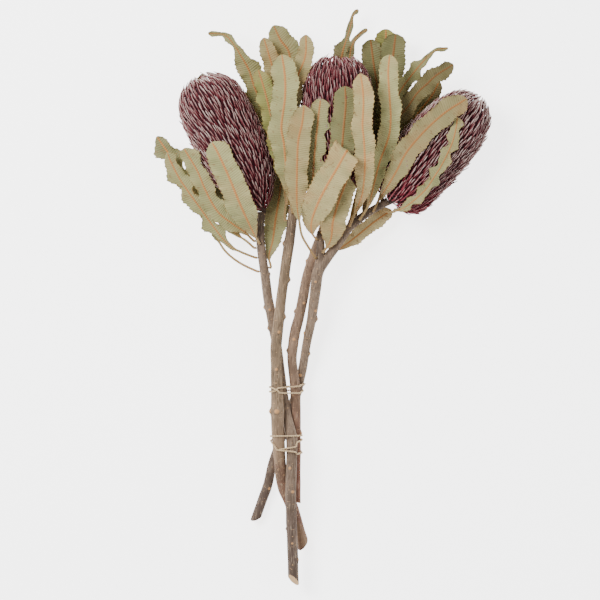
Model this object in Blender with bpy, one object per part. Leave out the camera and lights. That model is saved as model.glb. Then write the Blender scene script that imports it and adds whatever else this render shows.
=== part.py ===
"""A tied bunch of three dried banksia flower heads, lying on its back on a table.

The bunch holds four woody stems, three flower heads, thirty-two toothed leaves and two twine ties.
It lies flat: +X is to the right, +Y runs from the cut stem ends to the leaf tips, +Z is up.
Plan positions are named by the photograph's own pixels, because one pixel is one millimetre
on the real bunch. Heights above the table are in millimetres.
"""
import math
import random

import bmesh
import bpy
import numpy as np
from mathutils import Vector

MM = 0.001
PIXEL = 0.001                # real metres for one pixel of the photograph
PLAN_CENTRE = (321.0, 294.6)   # pixel that lies over the middle of the bunch's plan
SEAT_GAP = 0.3               # clearance between neighbouring pieces, mm

STEM_SIDES = 8
TWINE_DIAMETER = 1.5
TWINE_SIDES = 6
LEAF_THICKNESS = 0.8
PETIOLE_WIDTH = 2.0
HEAD_CLEARANCE = 2.2         # how far a leaf stays off the florets it lies over
FLORET_SPACING = 15.6        # distance between neighbouring florets round a head, mm
FLORET_ROW_PITCH = 15.2      # distance between rows of florets along a head, mm
FLORET_REACH = 28.0          # how far a floret's tip lies above its root, along the head
FLORET_WIDTH = 7.4

for old in list(bpy.data.objects):
    bpy.data.objects.remove(old)


def place(point):
    """World position of a plan pixel and a height in millimetres."""
    x, y, z = point
    return Vector(((x - PLAN_CENTRE[0]) * PIXEL, (PLAN_CENTRE[1] - y) * PIXEL, z * MM))


def material(name, colour, roughness=0.8):
    made = bpy.data.materials.new(name)
    made.use_nodes = True
    shader = made.node_tree.nodes["Principled BSDF"]
    shader.inputs["Base Color"].default_value = (*colour, 1.0)
    shader.inputs["Roughness"].default_value = roughness
    shader.inputs["Metallic"].default_value = 0.0
    return made


def mesh_object(name, points, faces, finish, smooth=False):
    mesh = bpy.data.meshes.new(name)
    mesh.from_pydata([tuple(p) for p in points], [], faces)
    shape = bmesh.new()
    shape.from_mesh(mesh)
    bmesh.ops.recalc_face_normals(shape, faces=shape.faces)
    shape.to_mesh(mesh)
    shape.free()
    mesh.materials.append(finish)
    if smooth:
        mesh.shade_smooth()
    made = bpy.data.objects.new(name, mesh)
    bpy.context.scene.collection.objects.link(made)
    return made


def smooth_curve(points, count):
    """Points evenly spaced by length along a smooth curve through the given rows of numbers."""
    rows = np.array(points, float)
    first = 2 * rows[0] - rows[1]
    last = 2 * rows[-1] - rows[-2]
    rows = np.vstack([first, rows, last])
    dense = []
    for i in range(1, len(rows) - 2):
        a, b, c, d = rows[i - 1:i + 3]
        for t in np.linspace(0.0, 1.0, 24, endpoint=False):
            dense.append(0.5 * (2 * b + (c - a) * t + (2 * a - 5 * b + 4 * c - d) * t ** 2
                                + (3 * b - a - 3 * c + d) * t ** 3))
    dense.append(rows[-2])
    dense = np.array(dense)
    steps = np.linalg.norm(np.diff(dense[:, :3], axis=0), axis=1)
    along = np.concatenate([[0.0], np.cumsum(steps)])
    wanted = np.linspace(0.0, along[-1], count)
    return np.column_stack([np.interp(wanted, along, dense[:, k]) for k in range(rows.shape[1])])


def unit(vector):
    return vector / np.linalg.norm(vector)


def tangents(path):
    """Unit directions along a path whose plan y grows downward in the photograph."""
    return np.array([unit(v) for v in np.gradient(path[:, :3], axis=0)])


def fuse(name, pieces, finish, cut_at_table=False):
    """Joins closed pieces that overlap into one body, and trims it at the table if asked."""
    body, rest = pieces[0], pieces[1:]
    group = bpy.data.collections.new(name + "_repeats")
    bpy.context.scene.collection.children.link(group)
    for piece in rest:
        bpy.context.scene.collection.objects.unlink(piece)
        group.objects.link(piece)
    join = body.modifiers.new("join", "BOOLEAN")
    join.operation = "UNION"
    join.operand_type = "COLLECTION"
    join.collection = group
    join.solver = "MANIFOLD"
    extras = list(rest)
    if cut_at_table:
        slab = box_below_table()
        trim = body.modifiers.new("trim", "BOOLEAN")
        trim.operation = "DIFFERENCE"
        trim.object = slab
        trim.solver = "MANIFOLD"
        extras.append(slab)
    bpy.context.view_layer.update()
    result = bpy.data.meshes.new_from_object(body.evaluated_get(bpy.context.evaluated_depsgraph_get()))
    body.modifiers.clear()
    body.data = result
    body.data.materials.clear()
    body.data.materials.append(finish)
    body.name = name
    for piece in extras:
        bpy.data.objects.remove(piece)
    bpy.data.collections.remove(group)
    return body


def box_below_table():
    reach, depth = 0.5, 0.05
    corners = [(x, y, z) for z in (-depth, 0.0) for y in (-reach, reach) for x in (-reach, reach)]
    faces = [(0, 2, 3, 1), (4, 5, 7, 6), (0, 1, 5, 4), (2, 6, 7, 3), (0, 4, 6, 2), (1, 3, 7, 5)]
    return mesh_object("below_table", corners, faces, BARK)


BARK = material("grey_brown_bark", (0.27, 0.205, 0.155), 0.85)
REDDISH_BARK = material("reddish_bark", (0.27, 0.16, 0.12), 0.8)
LEAF_SAGE = material("sage_leaf", (0.47, 0.44, 0.28), 0.75)
LEAF_TAN = material("tan_leaf", (0.53, 0.40, 0.24), 0.75)
LEAF_OLIVE = material("olive_leaf", (0.32, 0.30, 0.15), 0.75)
LEAF_YELLOW = material("yellow_green_leaf", (0.44, 0.40, 0.16), 0.75)
FLORETS = material("mauve_florets", (0.42, 0.25, 0.28), 0.7)
TWINE = material("natural_twine", (0.66, 0.55, 0.38), 0.9)

# Heads: base and crown on the axis, the floret surface's radius along it, and the axis height
HEADS = {
    "flower_head_left": dict(
        base=(262.0, 208.0), crown=(199.5, 79.5), height=34.0,
        profile=[(-2, 5), (4, 10.6), (12, 17), (25, 25), (45, 32), (70, 34.3), (105, 34.3),
                 (122, 32), (134, 26), (140, 16), (144, 4)]),
    "flower_head_middle": dict(
        base=(333.0, 196.0), crown=(339.0, 58.0), height=42.0,
        profile=[(-2, 6), (4, 14), (12, 23), (25, 30), (45, 34), (70, 35), (100, 34.6),
                 (118, 31), (130, 23), (136, 13), (139, 4)]),
    "flower_head_right": dict(
        base=(390.0, 199.5), crown=(479.0, 99.5), height=34.0,
        profile=[(-2, 16), (4, 25), (12, 31), (25, 33), (45, 34.3), (75, 34.3), (100, 32),
                 (118, 26), (127, 20), (132, 12), (135, 4)]),
}


def head_axis(head):
    """Base point, direction and sideways direction of a head, in plan pixels with y downward."""
    base, crown = np.array(head["base"]), np.array(head["crown"])
    along = unit(crown - base)
    return base, along, np.array([-along[1], along[0]])


def head_radius(head, distance):
    stations, radii = zip(*head["profile"])
    return float(np.interp(distance, stations, radii, left=0.0, right=0.0))


def head_offset(head, x, y):
    """Distance along a head and half the height of its section at a plan point, 0 when outside."""
    base, along, side = head_axis(head)
    offset = np.array([x, y]) - base
    radius = head_radius(head, float(offset @ along))
    if radius > 0.0:
        radius += HEAD_CLEARANCE
    return radius, abs(float(offset @ side))


def above_heads(x, y, z):
    """Lifts a height smoothly so that it stays over every head."""
    for head in HEADS.values():
        radius, aside = head_offset(head, x, y)
        if aside < radius:
            surface = head["height"] + math.sqrt(radius ** 2 - aside ** 2)
            z = 0.5 * (z + surface + math.sqrt((z - surface) ** 2 + 4.0))
    return z


def below_heads(x, y, z):
    """Lowers a height smoothly so that it stays under every head, but above the table."""
    for head in HEADS.values():
        radius, aside = head_offset(head, x, y)
        if aside < radius:
            surface = head["height"] - math.sqrt(radius ** 2 - aside ** 2)
            z = 0.5 * (z + surface - math.sqrt((z - surface) ** 2 + 4.0))
    return max(z, 1.0)


# Stems: plan x, plan y, height and radius from the cut end up
STEM_LEFT = [
    (293.6, 581, 23.0, 5.3), (292.5, 550, 24.5, 5.3), (291.2, 520, 26.6, 5.3), (290.8, 505, 27.6, 5.3),
    (290.7, 485, 28.0, 5.4), (291.6, 462, 27.8, 5.5), (291.8, 440, 26.8, 5.5), (289.8, 430, 25.8, 5.4),
    (286.4, 415, 23.0, 5.1), (284.0, 400, 20.6, 5.0), (282.3, 390, 19.4, 5.0), (279.6, 368, 18.0, 4.9),
    (276.5, 345, 17.8, 4.8), (271.8, 320, 19.4, 4.9), (268.2, 300, 22.0, 4.9), (265.6, 280, 25.5, 4.7),
    (263.0, 262, 29.0, 4.5), (260.6, 243, 32.4, 4.2), (260.4, 226, 34.0, 3.9), (261.6, 212, 34.0, 4.2)]
STEM_BACK = [
    (302.6, 545, 9.0, 6.4), (297.6, 528, 12.2, 6.1), (292.4, 510, 15.4, 6.0), (288.6, 500, 16.8, 6.0),
    (283.9, 489, 18.4, 6.0), (281.2, 478, 20.8, 5.9), (280.0, 466, 24.0, 5.9), (279.0, 453, 27.6, 6.0),
    (278.4, 440, 30.2, 6.2), (277.4, 428, 31.4, 6.3), (277.4, 412, 31.6, 6.5), (277.0, 400, 31.4, 6.1),
    (276.8, 388, 31.2, 6.0), (276.4, 370, 31.2, 5.8), (276.0, 350, 31.4, 5.7), (278.2, 325, 31.8, 5.4),
    (281.0, 300, 32.0, 5.1), (283.6, 280, 32.0, 5.1), (286.6, 260, 32.0, 5.2), (289.6, 240, 31.6, 5.1),
    (292.2, 220, 31.0, 4.8), (294.0, 200, 30.0, 4.0)]
STEM_MIDDLE = [
    (295.6, 504, 5.5, 5.0), (295.4, 490, 7.0, 5.1), (295.5, 480, 9.0, 5.2), (295.5, 460, 13.0, 5.2),
    (295.6, 440, 15.4, 5.2), (295.6, 420, 17.2, 5.2), (295.6, 405, 18.2, 5.2), (295.4, 392, 19.2, 5.1),
    (294.0, 378, 20.0, 4.9), (292.0, 360, 20.6, 4.8), (293.2, 344, 21.0, 5.2), (295.8, 329, 21.2, 5.4),
    (299.2, 317, 21.5, 5.1), (302.6, 300, 21.8, 5.2), (305.2, 285, 21.8, 5.0), (308.2, 271, 21.8, 4.8),
    (312.0, 260, 22.0, 4.7), (316.2, 248, 22.4, 4.6), (320.4, 236, 24.0, 4.4), (325.0, 222, 29.5, 4.2),
    (329.6, 209, 36.5, 4.0), (332.6, 200.5, 41.0, 4.0)]
STEM_RIGHT = [
    (256.0, 519, 5.0, 4.8), (262.3, 501, 5.2, 4.8), (267.2, 487, 5.4, 4.7), (272.6, 464, 6.4, 4.6),
    (281.0, 440, 7.6, 4.6), (287.4, 420, 7.8, 4.6), (292.6, 405, 8.0, 4.6), (297.4, 392, 9.0, 4.6),
    (300.0, 380, 10.8, 4.6), (302.4, 370, 12.8, 4.5), (304.0, 360, 15.0, 4.4), (307.4, 340, 19.4, 4.4),
    (311.6, 320, 23.2, 4.7), (314.3, 300, 27.4, 5.1), (316.0, 286, 30.2, 5.4), (318.6, 271, 32.4, 5.6),
    (325.6, 260, 33.0, 5.0), (334.0, 249, 33.4, 4.7), (341.5, 238.5, 33.8, 4.4), (350.0, 227, 34.0, 4.2),
    (360.5, 218, 34.0, 4.0), (371.5, 210.5, 34.0, 3.8), (381.0, 205.0, 34.0, 3.8), (388.2, 201, 34.0, 4.2)]
STEM_RIGHT_TWIG = [
    (318.4, 272, 32.4, 4.6), (320.2, 259, 33.6, 4.6), (320.8, 248, 34.2, 4.2), (320.4, 238, 34.6, 3.6),
    (319.6, 231, 34.8, 2.9)]
# Leaf scars standing off a stem: row of the photograph, angle round the stem and size
SCARS = {
    "stem_left": [(560, 20, 1.6), (529, 200, 1.4), (327, 170, 1.9), (309, 95, 1.4), (306, 178, 1.9),
                  (274, 5, 1.5)],
    "stem_back": [(412, 95, 2.6), (412, 175, 2.4), (369, 90, 1.7), (331, 75, 1.7), (317, 5, 2.2),
                  (278, 0, 2.2), (243, 180, 2.2)],
    "stem_middle": [(434, 15, 2.0), (351, 175, 1.8), (340, 90, 1.7), (312, 180, 1.8), (303, 70, 1.6),
                    (262, 170, 1.8)],
    "stem_right": [(489, 60, 1.6), (375, 100, 1.9), (353, 15, 1.8), (333, 150, 1.7), (318, 5, 2.2),
                   (310, 60, 1.6), (280, 100, 1.5)],
}


def stem_section(path, row):
    """Centre, radius, direction and sideways direction of a stem where it crosses a plan row."""
    dense = smooth_curve(path, 160)
    index = int(np.argmin(np.abs(dense[:, 1] - row)))
    direction = tangents(dense)[index]
    side = unit(np.cross(direction, (0.0, 0.0, -1.0)))
    return dense[index, :3], dense[index, 3], direction, side


def on_stem(path, row, degrees, gap=0.0):
    """A point on a stem's bark; 0 degrees is to the right, 90 faces up off the table."""
    centre, radius, direction, side = stem_section(path, row)
    if side[0] < 0:
        side = -side
    up = unit(np.cross(side, direction))
    if up[2] < 0:
        up = -up
    outward = math.cos(math.radians(degrees)) * side + math.sin(math.radians(degrees)) * up
    return centre + outward * (radius + gap), outward


def tube(name, path, sides, finish, turn=0.0, rough=0.0, seed=0):
    """A closed tube along rows of x, y, z and radius."""
    random.seed(seed)
    direction = tangents(path)
    side = unit(np.cross(direction[0], (0.0, 0.0, 1.0)))
    points, faces = [], []
    for i, row in enumerate(path):
        side = unit(side - direction[i] * (side @ direction[i]))
        up = np.cross(side, direction[i])
        for k in range(sides):
            angle = turn + 2 * math.pi * k / sides
            radius = row[3] * (1.0 - rough * random.random())
            points.append(place(row[:3] + radius * (math.cos(angle) * side + math.sin(angle) * up)))
    for i in range(len(path) - 1):
        for k in range(sides):
            nxt = (k + 1) % sides
            faces.append((i * sides + k, i * sides + nxt, (i + 1) * sides + nxt, (i + 1) * sides + k))
    faces.append(tuple(range(sides)))
    faces.append(tuple((len(path) - 1) * sides + k for k in range(sides)))
    return mesh_object(name, points, faces, finish, smooth=sides > 5)


def scar(path, row, degrees, size, finish):
    """A small pointed leaf scar, sunk well into the bark."""
    root, outward = on_stem(path, row, degrees)
    spike = np.array([[*(root - outward * 2.0), size * 1.1], [*(root + outward * size * 0.5), size * 0.8],
                      [*(root + outward * size), size * 0.35]])
    return tube("scar", spike, 5, finish)


def stem(name, path, count, finish, extra=()):
    pieces = [tube(name, smooth_curve(path, count), STEM_SIDES, finish, rough=0.06, seed=len(name))]
    for twig, twig_count in extra:
        pieces.append(tube(name + "_twig", smooth_curve(twig, twig_count), STEM_SIDES - 1, finish))
    for row, degrees, size in SCARS[name]:
        pieces.append(scar(path, row, degrees, size, finish))
    return fuse(name, pieces, finish)


stem("stem_left", STEM_LEFT, 19, BARK)
stem("stem_back", STEM_BACK, 20, BARK)
stem("stem_middle", STEM_MIDDLE, 21, REDDISH_BARK)
stem("stem_right", STEM_RIGHT, 23, BARK, extra=[(STEM_RIGHT_TWIG, 5)])


def floret(root, bend, tip, sideways, width):
    """A bent three-sided strand from inside the core to its pointed tip."""
    points = []
    for centre, size in ((root, width * 0.55), (bend, width)):
        outward = unit(np.cross(sideways, tip - root))
        for angle in (90, 210, 330):
            turn = math.radians(angle)
            points.append(centre + size * 0.5 * (math.cos(turn) * sideways + math.sin(turn) * outward))
    points.append(tip)
    faces = [(0, 1, 2), (0, 1, 4, 3), (1, 2, 5, 4), (2, 0, 3, 5), (3, 4, 6), (4, 5, 6), (5, 3, 6)]
    return mesh_object("floret", [place(p) for p in points], faces, FLORETS)


def head_core(name, head, share=0.70, sides=10):
    """The turned spindle that the florets stand out of."""
    base, along, side = head_axis(head)
    axis, aside = np.array([*along, 0.0]), np.array([*side, 0.0])
    start = np.array([*base, head["height"]])
    length = head["profile"][-1][0]
    stations = [2.0, 12.0, 28.0, 50.0, 80.0, 108.0, length - 16.0, length - 8.0]
    points, faces = [], []
    for distance in stations:
        radius = share * head_radius(head, distance)
        for k in range(sides):
            angle = 2 * math.pi * k / sides
            points.append(start + axis * distance
                          + radius * (math.cos(angle) * aside + math.sin(angle) * np.array([0, 0, 1.0])))
    for i in range(len(stations) - 1):
        for k in range(sides):
            nxt = (k + 1) % sides
            faces.append((i * sides + k, i * sides + nxt, (i + 1) * sides + nxt, (i + 1) * sides + k))
    faces.append(tuple(range(sides)))
    faces.append(tuple((len(stations) - 1) * sides + k for k in range(sides)))
    return mesh_object(name, [place(p) for p in points], faces, FLORETS)


def flower_head(name, head, stem_path, cut_at_table):
    """A core under alternating rows of florets that sweep towards the crown."""
    random.seed(len(name))
    base, along, side = head_axis(head)
    axis, aside, up = np.array([*along, 0.0]), np.array([*side, 0.0]), np.array([0, 0, 1.0])
    start = np.array([*base, head["height"]])
    length = head["profile"][-1][0]
    pieces = [head_core(name, head)]
    carrier = smooth_curve(stem_path, 160)
    stem_end, stem_way = carrier[-1, :3], tangents(carrier)[-1]
    neck = [(stem_end + stem_way * SEAT_GAP, 4.2), (stem_end + stem_way * 2.0, 4.4),
            (start + axis * 7.0, 5.2), (start + axis * 14.0, 6.0)]
    pieces.append(tube("neck", np.array([[*point, radius] for point, radius in neck]), 8, FLORETS))
    rows = int((length - 16.0) / FLORET_ROW_PITCH) + 1
    for row in range(rows):
        foot = -1.0 + row * FLORET_ROW_PITCH
        reach = FLORET_REACH * (1.0 if foot + FLORET_REACH < length else 0.8)
        around = head_radius(head, foot + 0.55 * reach)
        count = max(6, round(2 * math.pi * around / FLORET_SPACING))
        for k in range(count):
            angle = 2 * math.pi * (k + 0.5 * (row % 2)) / count + random.uniform(-0.05, 0.05)
            outward = math.cos(angle) * aside + math.sin(angle) * up
            sideways = unit(np.cross(outward, axis))
            end = min(foot + reach + random.uniform(-1.5, 1.5), length - 1.0)
            root = start + axis * (foot + 6.5) + outward * 0.64 * head_radius(head, foot + 6.5)
            knee = start + axis * (foot + 11.0) + outward * (head_radius(head, foot + 11.0) - 2.4)
            tip = start + axis * end + outward * max(head_radius(head, end) - 0.1, 1.5)
            pieces.append(floret(root, knee, tip, sideways, FLORET_WIDTH))
    return fuse(name, pieces, FLORETS, cut_at_table)


flower_head("flower_head_left", HEADS["flower_head_left"], STEM_LEFT, True)
flower_head("flower_head_middle", HEADS["flower_head_middle"], STEM_MIDDLE, False)
flower_head("flower_head_right", HEADS["flower_head_right"], STEM_RIGHT, True)


# Leaves: seat (stem, row, degrees), blade width, finish, teeth, and points from base to tip
LEAVES = {
    "leaf_left_front": dict(
        seat=(STEM_LEFT, 243, 100), width=28, finish=LEAF_SAGE, teeth=8, over=True,
        points=[(252, 230, 46), (241, 206, 62), (229.5, 178, 70), (219.5, 156, 72), (213, 144, 71)]),
    "leaf_left_second": dict(
        seat=(STEM_LEFT, 241, 165), width=21, finish=LEAF_SAGE, teeth=8, over=True,
        points=[(245, 232.5, 40), (232, 223.5, 45), (218, 212, 49), (206, 191, 52), (198, 172, 52),
                (188, 155, 51), (184.5, 149, 50)]),
    "leaf_left_third": dict(
        seat=(STEM_LEFT, 257, 175), width=20, finish=LEAF_SAGE, teeth=8, petiole=0.14, lobes=2.4,
        points=[(240, 251.5, 34), (229, 245, 37), (217.5, 232, 40), (199, 206.5, 41), (181, 181, 40),
                (171, 162, 38), (167.5, 153, 37)]),
    "leaf_left_fourth": dict(
        seat=(STEM_LEFT, 271, 180), width=20, finish=LEAF_OLIVE, teeth=8, petiole=0.28, lobes=2.4,
        points=[(240, 263, 26), (226.5, 252.5, 25), (218, 240, 24), (205, 214, 24), (191, 189, 24),
                (177, 166, 25), (164, 147, 26), (156.5, 136, 27)]),
    "leaf_left_dry": dict(
        seat=(STEM_LEFT, 248, 190), width=8, finish=LEAF_TAN, teeth=3, petiole=0.35,
        points=[(247, 241.5, 33), (237, 234.5, 34), (227, 226, 36), (219, 219, 37)]),
    "leaf_left_right": dict(
        seat=(STEM_LEFT, 267, 20), width=21, finish=LEAF_SAGE, teeth=7,
        points=[(268.8, 256, 28), (272.5, 241, 26.5), (275.5, 219, 23.5), (279.5, 194, 19.5),
                (282, 172, 17)]),
    "leaf_left_under": dict(
        seat=(STEM_LEFT, 233, 215), width=11, finish=LEAF_OLIVE, teeth=8, under=True,
        points=[(249, 214, 18), (234, 197, 10), (221.5, 183, 7), (205.5, 147, 6), (197.5, 111, 4),
                (198.5, 85.5, 8), (202.5, 72.5, 12)]),
    "leaf_top_dark": dict(
        seat=(STEM_BACK, 214, 240), width=13, finish=LEAF_OLIVE, teeth=6,
        points=[(286, 198, 12), (276, 165, 8), (263, 128, 10), (251, 104, 11), (244, 91, 13)]),
    "leaf_top_curled": dict(
        seat=(STEM_BACK, 219, 190), width=17, finish=LEAF_SAGE, teeth=9, curl=(0.72, 70),
        points=[(285, 195, 24), (277, 155, 20), (265, 113, 20), (254, 86, 22), (249, 70, 25), (240, 54, 30),
                (232, 42, 33), (224, 34.5, 33), (208, 33, 31)]),
    "leaf_top_back": dict(
        seat=(STEM_BACK, 209, 250), width=27, finish=LEAF_SAGE, teeth=9, lobes=1.5,
        points=[(291, 185, 22), (287, 150, 25), (286, 115, 29), (290, 78, 33), (289, 53, 35), (280.5, 40, 36),
                (273.5, 25.5, 36)]),
    "leaf_top_second": dict(
        seat=(STEM_BACK, 205, 165), width=19, finish=LEAF_TAN, teeth=8,
        points=[(287, 190, 33), (283, 150, 36), (279, 110, 39), (274, 75, 43), (268.5, 54, 45),
                (263.8, 38.5, 45)]),
    "leaf_top_right": dict(
        seat=(STEM_BACK, 211, 20), width=19, finish=LEAF_TAN, teeth=9,
        points=[(294.5, 190, 40), (291, 160, 43), (291, 130, 46), (292, 105, 49), (296, 82, 51),
                (305, 58, 51), (306, 36, 50)]),
    "leaf_top_yellow": dict(
        seat=(STEM_BACK, 204, 130), width=20, finish=LEAF_YELLOW, teeth=10, over=True,
        points=[(288, 194, 43), (281, 165, 51), (274, 130, 54), (267, 100, 55), (262, 82, 55),
                (258.5, 71, 54)]),
    "leaf_top_large": dict(
        seat=(STEM_BACK, 213, 95), width=28, finish=LEAF_SAGE, teeth=10,
        points=[(290.5, 200, 44), (286.5, 172, 57), (284, 145, 61), (281.5, 128, 62), (285, 100, 62),
                (285, 78, 62), (282, 56.5, 61)]),
    "leaf_centre_left": dict(
        seat=(STEM_RIGHT_TWIG, 258, 130), width=25, finish=LEAF_TAN, teeth=8, petiole=0.28, over=True,
        points=[(309.5, 249, 46), (302, 236, 52), (299.3, 222, 59), (297, 206, 67), (296.8, 181, 75),
                (298, 145, 80), (302, 126, 81), (304, 108, 80)]),
    "leaf_centre_torn": dict(
        seat=(STEM_MIDDLE, 216, 150), width=22, finish=LEAF_SAGE, teeth=7, over=True,
        points=[(317, 200, 46), (313, 184, 58), (314, 160, 64), (316.5, 135, 68), (319, 112, 69),
                (320.5, 101, 68)]),
    "leaf_middle_half": dict(
        seat=(STEM_MIDDLE, 215, 80), width=27, finish=LEAF_SAGE, teeth=8, over=True,
        points=[(331.5, 205, 55), (336, 190, 66), (340.5, 160, 75), (343, 130, 77), (345, 108, 77),
                (344.5, 89, 76)]),
    "leaf_middle_front": dict(
        seat=(STEM_RIGHT, 226, 100), width=22, finish=LEAF_TAN, teeth=10, over=True,
        points=[(356.5, 209, 50), (361.5, 196, 62), (363.5, 180, 73), (364, 165, 81), (363, 143, 85),
                (361.5, 128, 86), (362.5, 105, 86), (361, 86, 84), (359, 77, 82)]),
    "leaf_middle_grey": dict(
        seat=(STEM_RIGHT, 219, 85), width=22, finish=LEAF_SAGE, teeth=10, over=True,
        points=[(367.5, 207, 47), (371, 196, 53), (374.5, 181, 58), (379.5, 162, 57.5), (388, 138, 58),
                (390, 120, 61), (389, 100, 61), (387.5, 75, 60), (389, 56.5, 58)]),
    "leaf_right_large": dict(
        seat=(STEM_RIGHT, 210, 75), width=25, finish=LEAF_TAN, teeth=11, over=True,
        points=[(379, 199.5, 43), (388.5, 184.5, 51), (396, 171.5, 60), (406, 153, 67), (423, 133, 70),
                (442, 115.7, 72), (459, 104.5, 71), (465, 101, 70)]),
    "leaf_right_narrow": dict(
        seat=(STEM_RIGHT, 205, 330), width=14, finish=LEAF_SAGE, teeth=9, over=True, lobes=2.0,
        points=[(391, 212, 40), (402, 209, 55), (412, 202, 64), (424, 191, 66), (432, 179.5, 67),
                (441, 165, 67), (450, 146, 66), (454, 132, 65), (456, 119, 63)]),
    "leaf_front_folded": dict(
        seat=(STEM_RIGHT_TWIG, 239, 125), width=31, finish=LEAF_TAN, teeth=9, over=True, blunt=True,
        points=[(312, 233, 46), (311.5, 222, 55), (317, 206, 70), (325.5, 189, 83.5), (335.5, 172, 90),
                (343.6, 157.5, 91), (345.8, 153.6, 89), (346, 154.4, 86)]),
    "leaf_front_small": dict(
        seat=(STEM_RIGHT_TWIG, 252, 70), width=21, finish=LEAF_TAN, teeth=6, over=True,
        points=[(330.6, 240, 44), (332.8, 222, 57), (337.5, 205, 64), (343, 190, 71), (347, 179, 75)]),
    "leaf_under_branch": dict(
        seat=(STEM_RIGHT, 251, 280), width=13, finish=LEAF_TAN, teeth=6,
        points=[(345, 245, 24), (358, 235, 21), (374, 222, 18), (392, 209.5, 17)]),
    "leaf_back_twisted_tip": dict(
        seat=(STEM_MIDDLE, 218, 280), width=14, finish=LEAF_OLIVE, teeth=8, under=True, curl=(0.74, 65),
        points=[(332, 200, 12), (335, 180, 4), (337, 140, 3.4), (341, 95, 3.4), (341.5, 62, 8),
                (343, 50, 13), (347, 37, 17), (351, 24, 20), (353, 14, 21), (358.5, 8.5, 21)]),
    "leaf_back_thin_tip": dict(
        seat=(STEM_MIDDLE, 213, 330), width=9, finish=LEAF_OLIVE, teeth=6, under=True,
        points=[(341, 195, 14), (350, 170, 8), (356, 135, 6), (355, 100, 6.5), (350, 62, 18), (352.5, 44, 28),
                (358.5, 35, 30), (367.5, 28.8, 30)]),
    "leaf_back_yellow_tip": dict(
        seat=(STEM_RIGHT, 232, 265), width=20, finish=LEAF_YELLOW, teeth=9,
        points=[(353, 212, 14), (368, 175, 8), (380, 130, 7), (386, 90, 7), (386.5, 55, 8), (385.5, 29, 10)]),
    "leaf_back_grey": dict(
        seat=(STEM_RIGHT, 223, 270), width=22, finish=LEAF_SAGE, teeth=8,
        points=[(360, 200, 17), (369, 165, 12), (377, 125, 13), (378, 90, 14), (374, 62, 15), (372, 41, 16)]),
    "leaf_back_broad": dict(
        seat=(STEM_RIGHT, 217, 290), width=25, finish=LEAF_SAGE, teeth=8,
        points=[(366, 194, 20), (374.5, 158, 17.5), (386, 115, 20), (391, 80, 24), (393.5, 54, 25),
                (396, 35.5, 25)]),
    "leaf_back_curled": dict(
        seat=(STEM_RIGHT, 214, 200), width=14, finish=LEAF_SAGE, teeth=8, curl=(0.78, 60),
        points=[(366, 196, 29), (372, 165, 30), (382, 135, 31), (392, 108, 33), (401, 90, 34),
                (411, 76, 35), (420, 65, 36), (427, 57.5, 37), (436, 50.5, 38), (448, 48.5, 38)]),
    "leaf_back_tan": dict(
        seat=(STEM_RIGHT, 212, 160), width=19, finish=LEAF_TAN, teeth=9,
        points=[(368, 194, 39), (372, 165, 41), (382, 140, 42), (397, 120, 43), (408.5, 106, 43),
                (416.5, 94, 43), (427, 84, 43), (437, 75, 43), (453, 65, 42)]),
    "leaf_back_dark": dict(
        seat=(STEM_RIGHT, 208, 300), width=17, finish=LEAF_OLIVE, teeth=8, under=True,
        points=[(386, 188, 20), (394, 160, 12), (404, 136, 12), (418, 113, 16), (431, 97, 20),
                (440, 80.5, 22)]),
}


def blade_share(t, petiole, blunt):
    """Share of the full blade width at a place along the leaf, from 0 at its base to 1 at its tip."""
    if t <= petiole:
        return 0.0
    u = (t - petiole) / (1.0 - petiole)
    rise = math.sin(0.5 * math.pi * min(1.0, u / 0.55)) ** 0.9
    if blunt:
        return rise
    return rise * math.sqrt(max(0.0, 1.0 - max(0.0, (u - 0.80) / 0.20) ** 2.2) * 0.93 + 0.07)


def leaf_rows(leaf, stations, lateral):
    """Rows of points across a leaf from its seat to its tip, with the upward direction of each."""
    seat, outward = on_stem(*leaf["seat"], gap=SEAT_GAP + 0.2)
    start = seat + outward * 2.5
    path = smooth_curve([seat, start, *leaf["points"]], stations)
    direction = tangents(path)
    side = unit(np.cross(direction[3], (0.0, 0.0, -1.0)))
    petiole, lobes = leaf.get("petiole", 0.08), leaf.get("lobes", 0.0)
    curl_from, curl_turn = leaf.get("curl", (1.0, 0.0))
    rows = []
    for i, centre in enumerate(path):
        t = i / (stations - 1)
        level = np.cross(direction[i], (0.0, 0.0, -1.0))
        if np.linalg.norm(level) > 0.4 and level @ side > 0:
            side = unit(level)
        side = unit(side - direction[i] * (side @ direction[i]))
        up = np.cross(side, direction[i]) * (1 if np.cross(side, direction[i])[2] > 0 else -1)
        twist = math.radians(curl_turn) * max(0.0, (t - curl_from) / max(1e-6, 1.0 - curl_from))
        across = math.cos(twist) * side + math.sin(twist) * up
        normal = math.cos(twist) * up - math.sin(twist) * side
        share = blade_share(t, petiole, leaf.get("blunt", False))
        half = 0.5 * max(PETIOLE_WIDTH, leaf["width"] * share)
        tooth = 1.0 if i % 2 else 0.86
        row = []
        for v in lateral:
            reach = half * (1.0 + (tooth - 1.0) * abs(v) ** 6 * min(1.0, 2.0 * share))
            keel = 0.12 * half * (abs(v) - 0.5)
            ruffle = lobes * share * abs(v) ** 2 * math.sin(2 * math.pi * 3.0 * t + 1.2 * v)
            point = centre + across * reach * v + normal * (keel + ruffle)
            if leaf.get("over"):
                point[2] = above_heads(*point)
            if leaf.get("under"):
                point[2] = below_heads(*point)
            row.append(point)
        rows.append((row, normal))
    return rows


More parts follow.
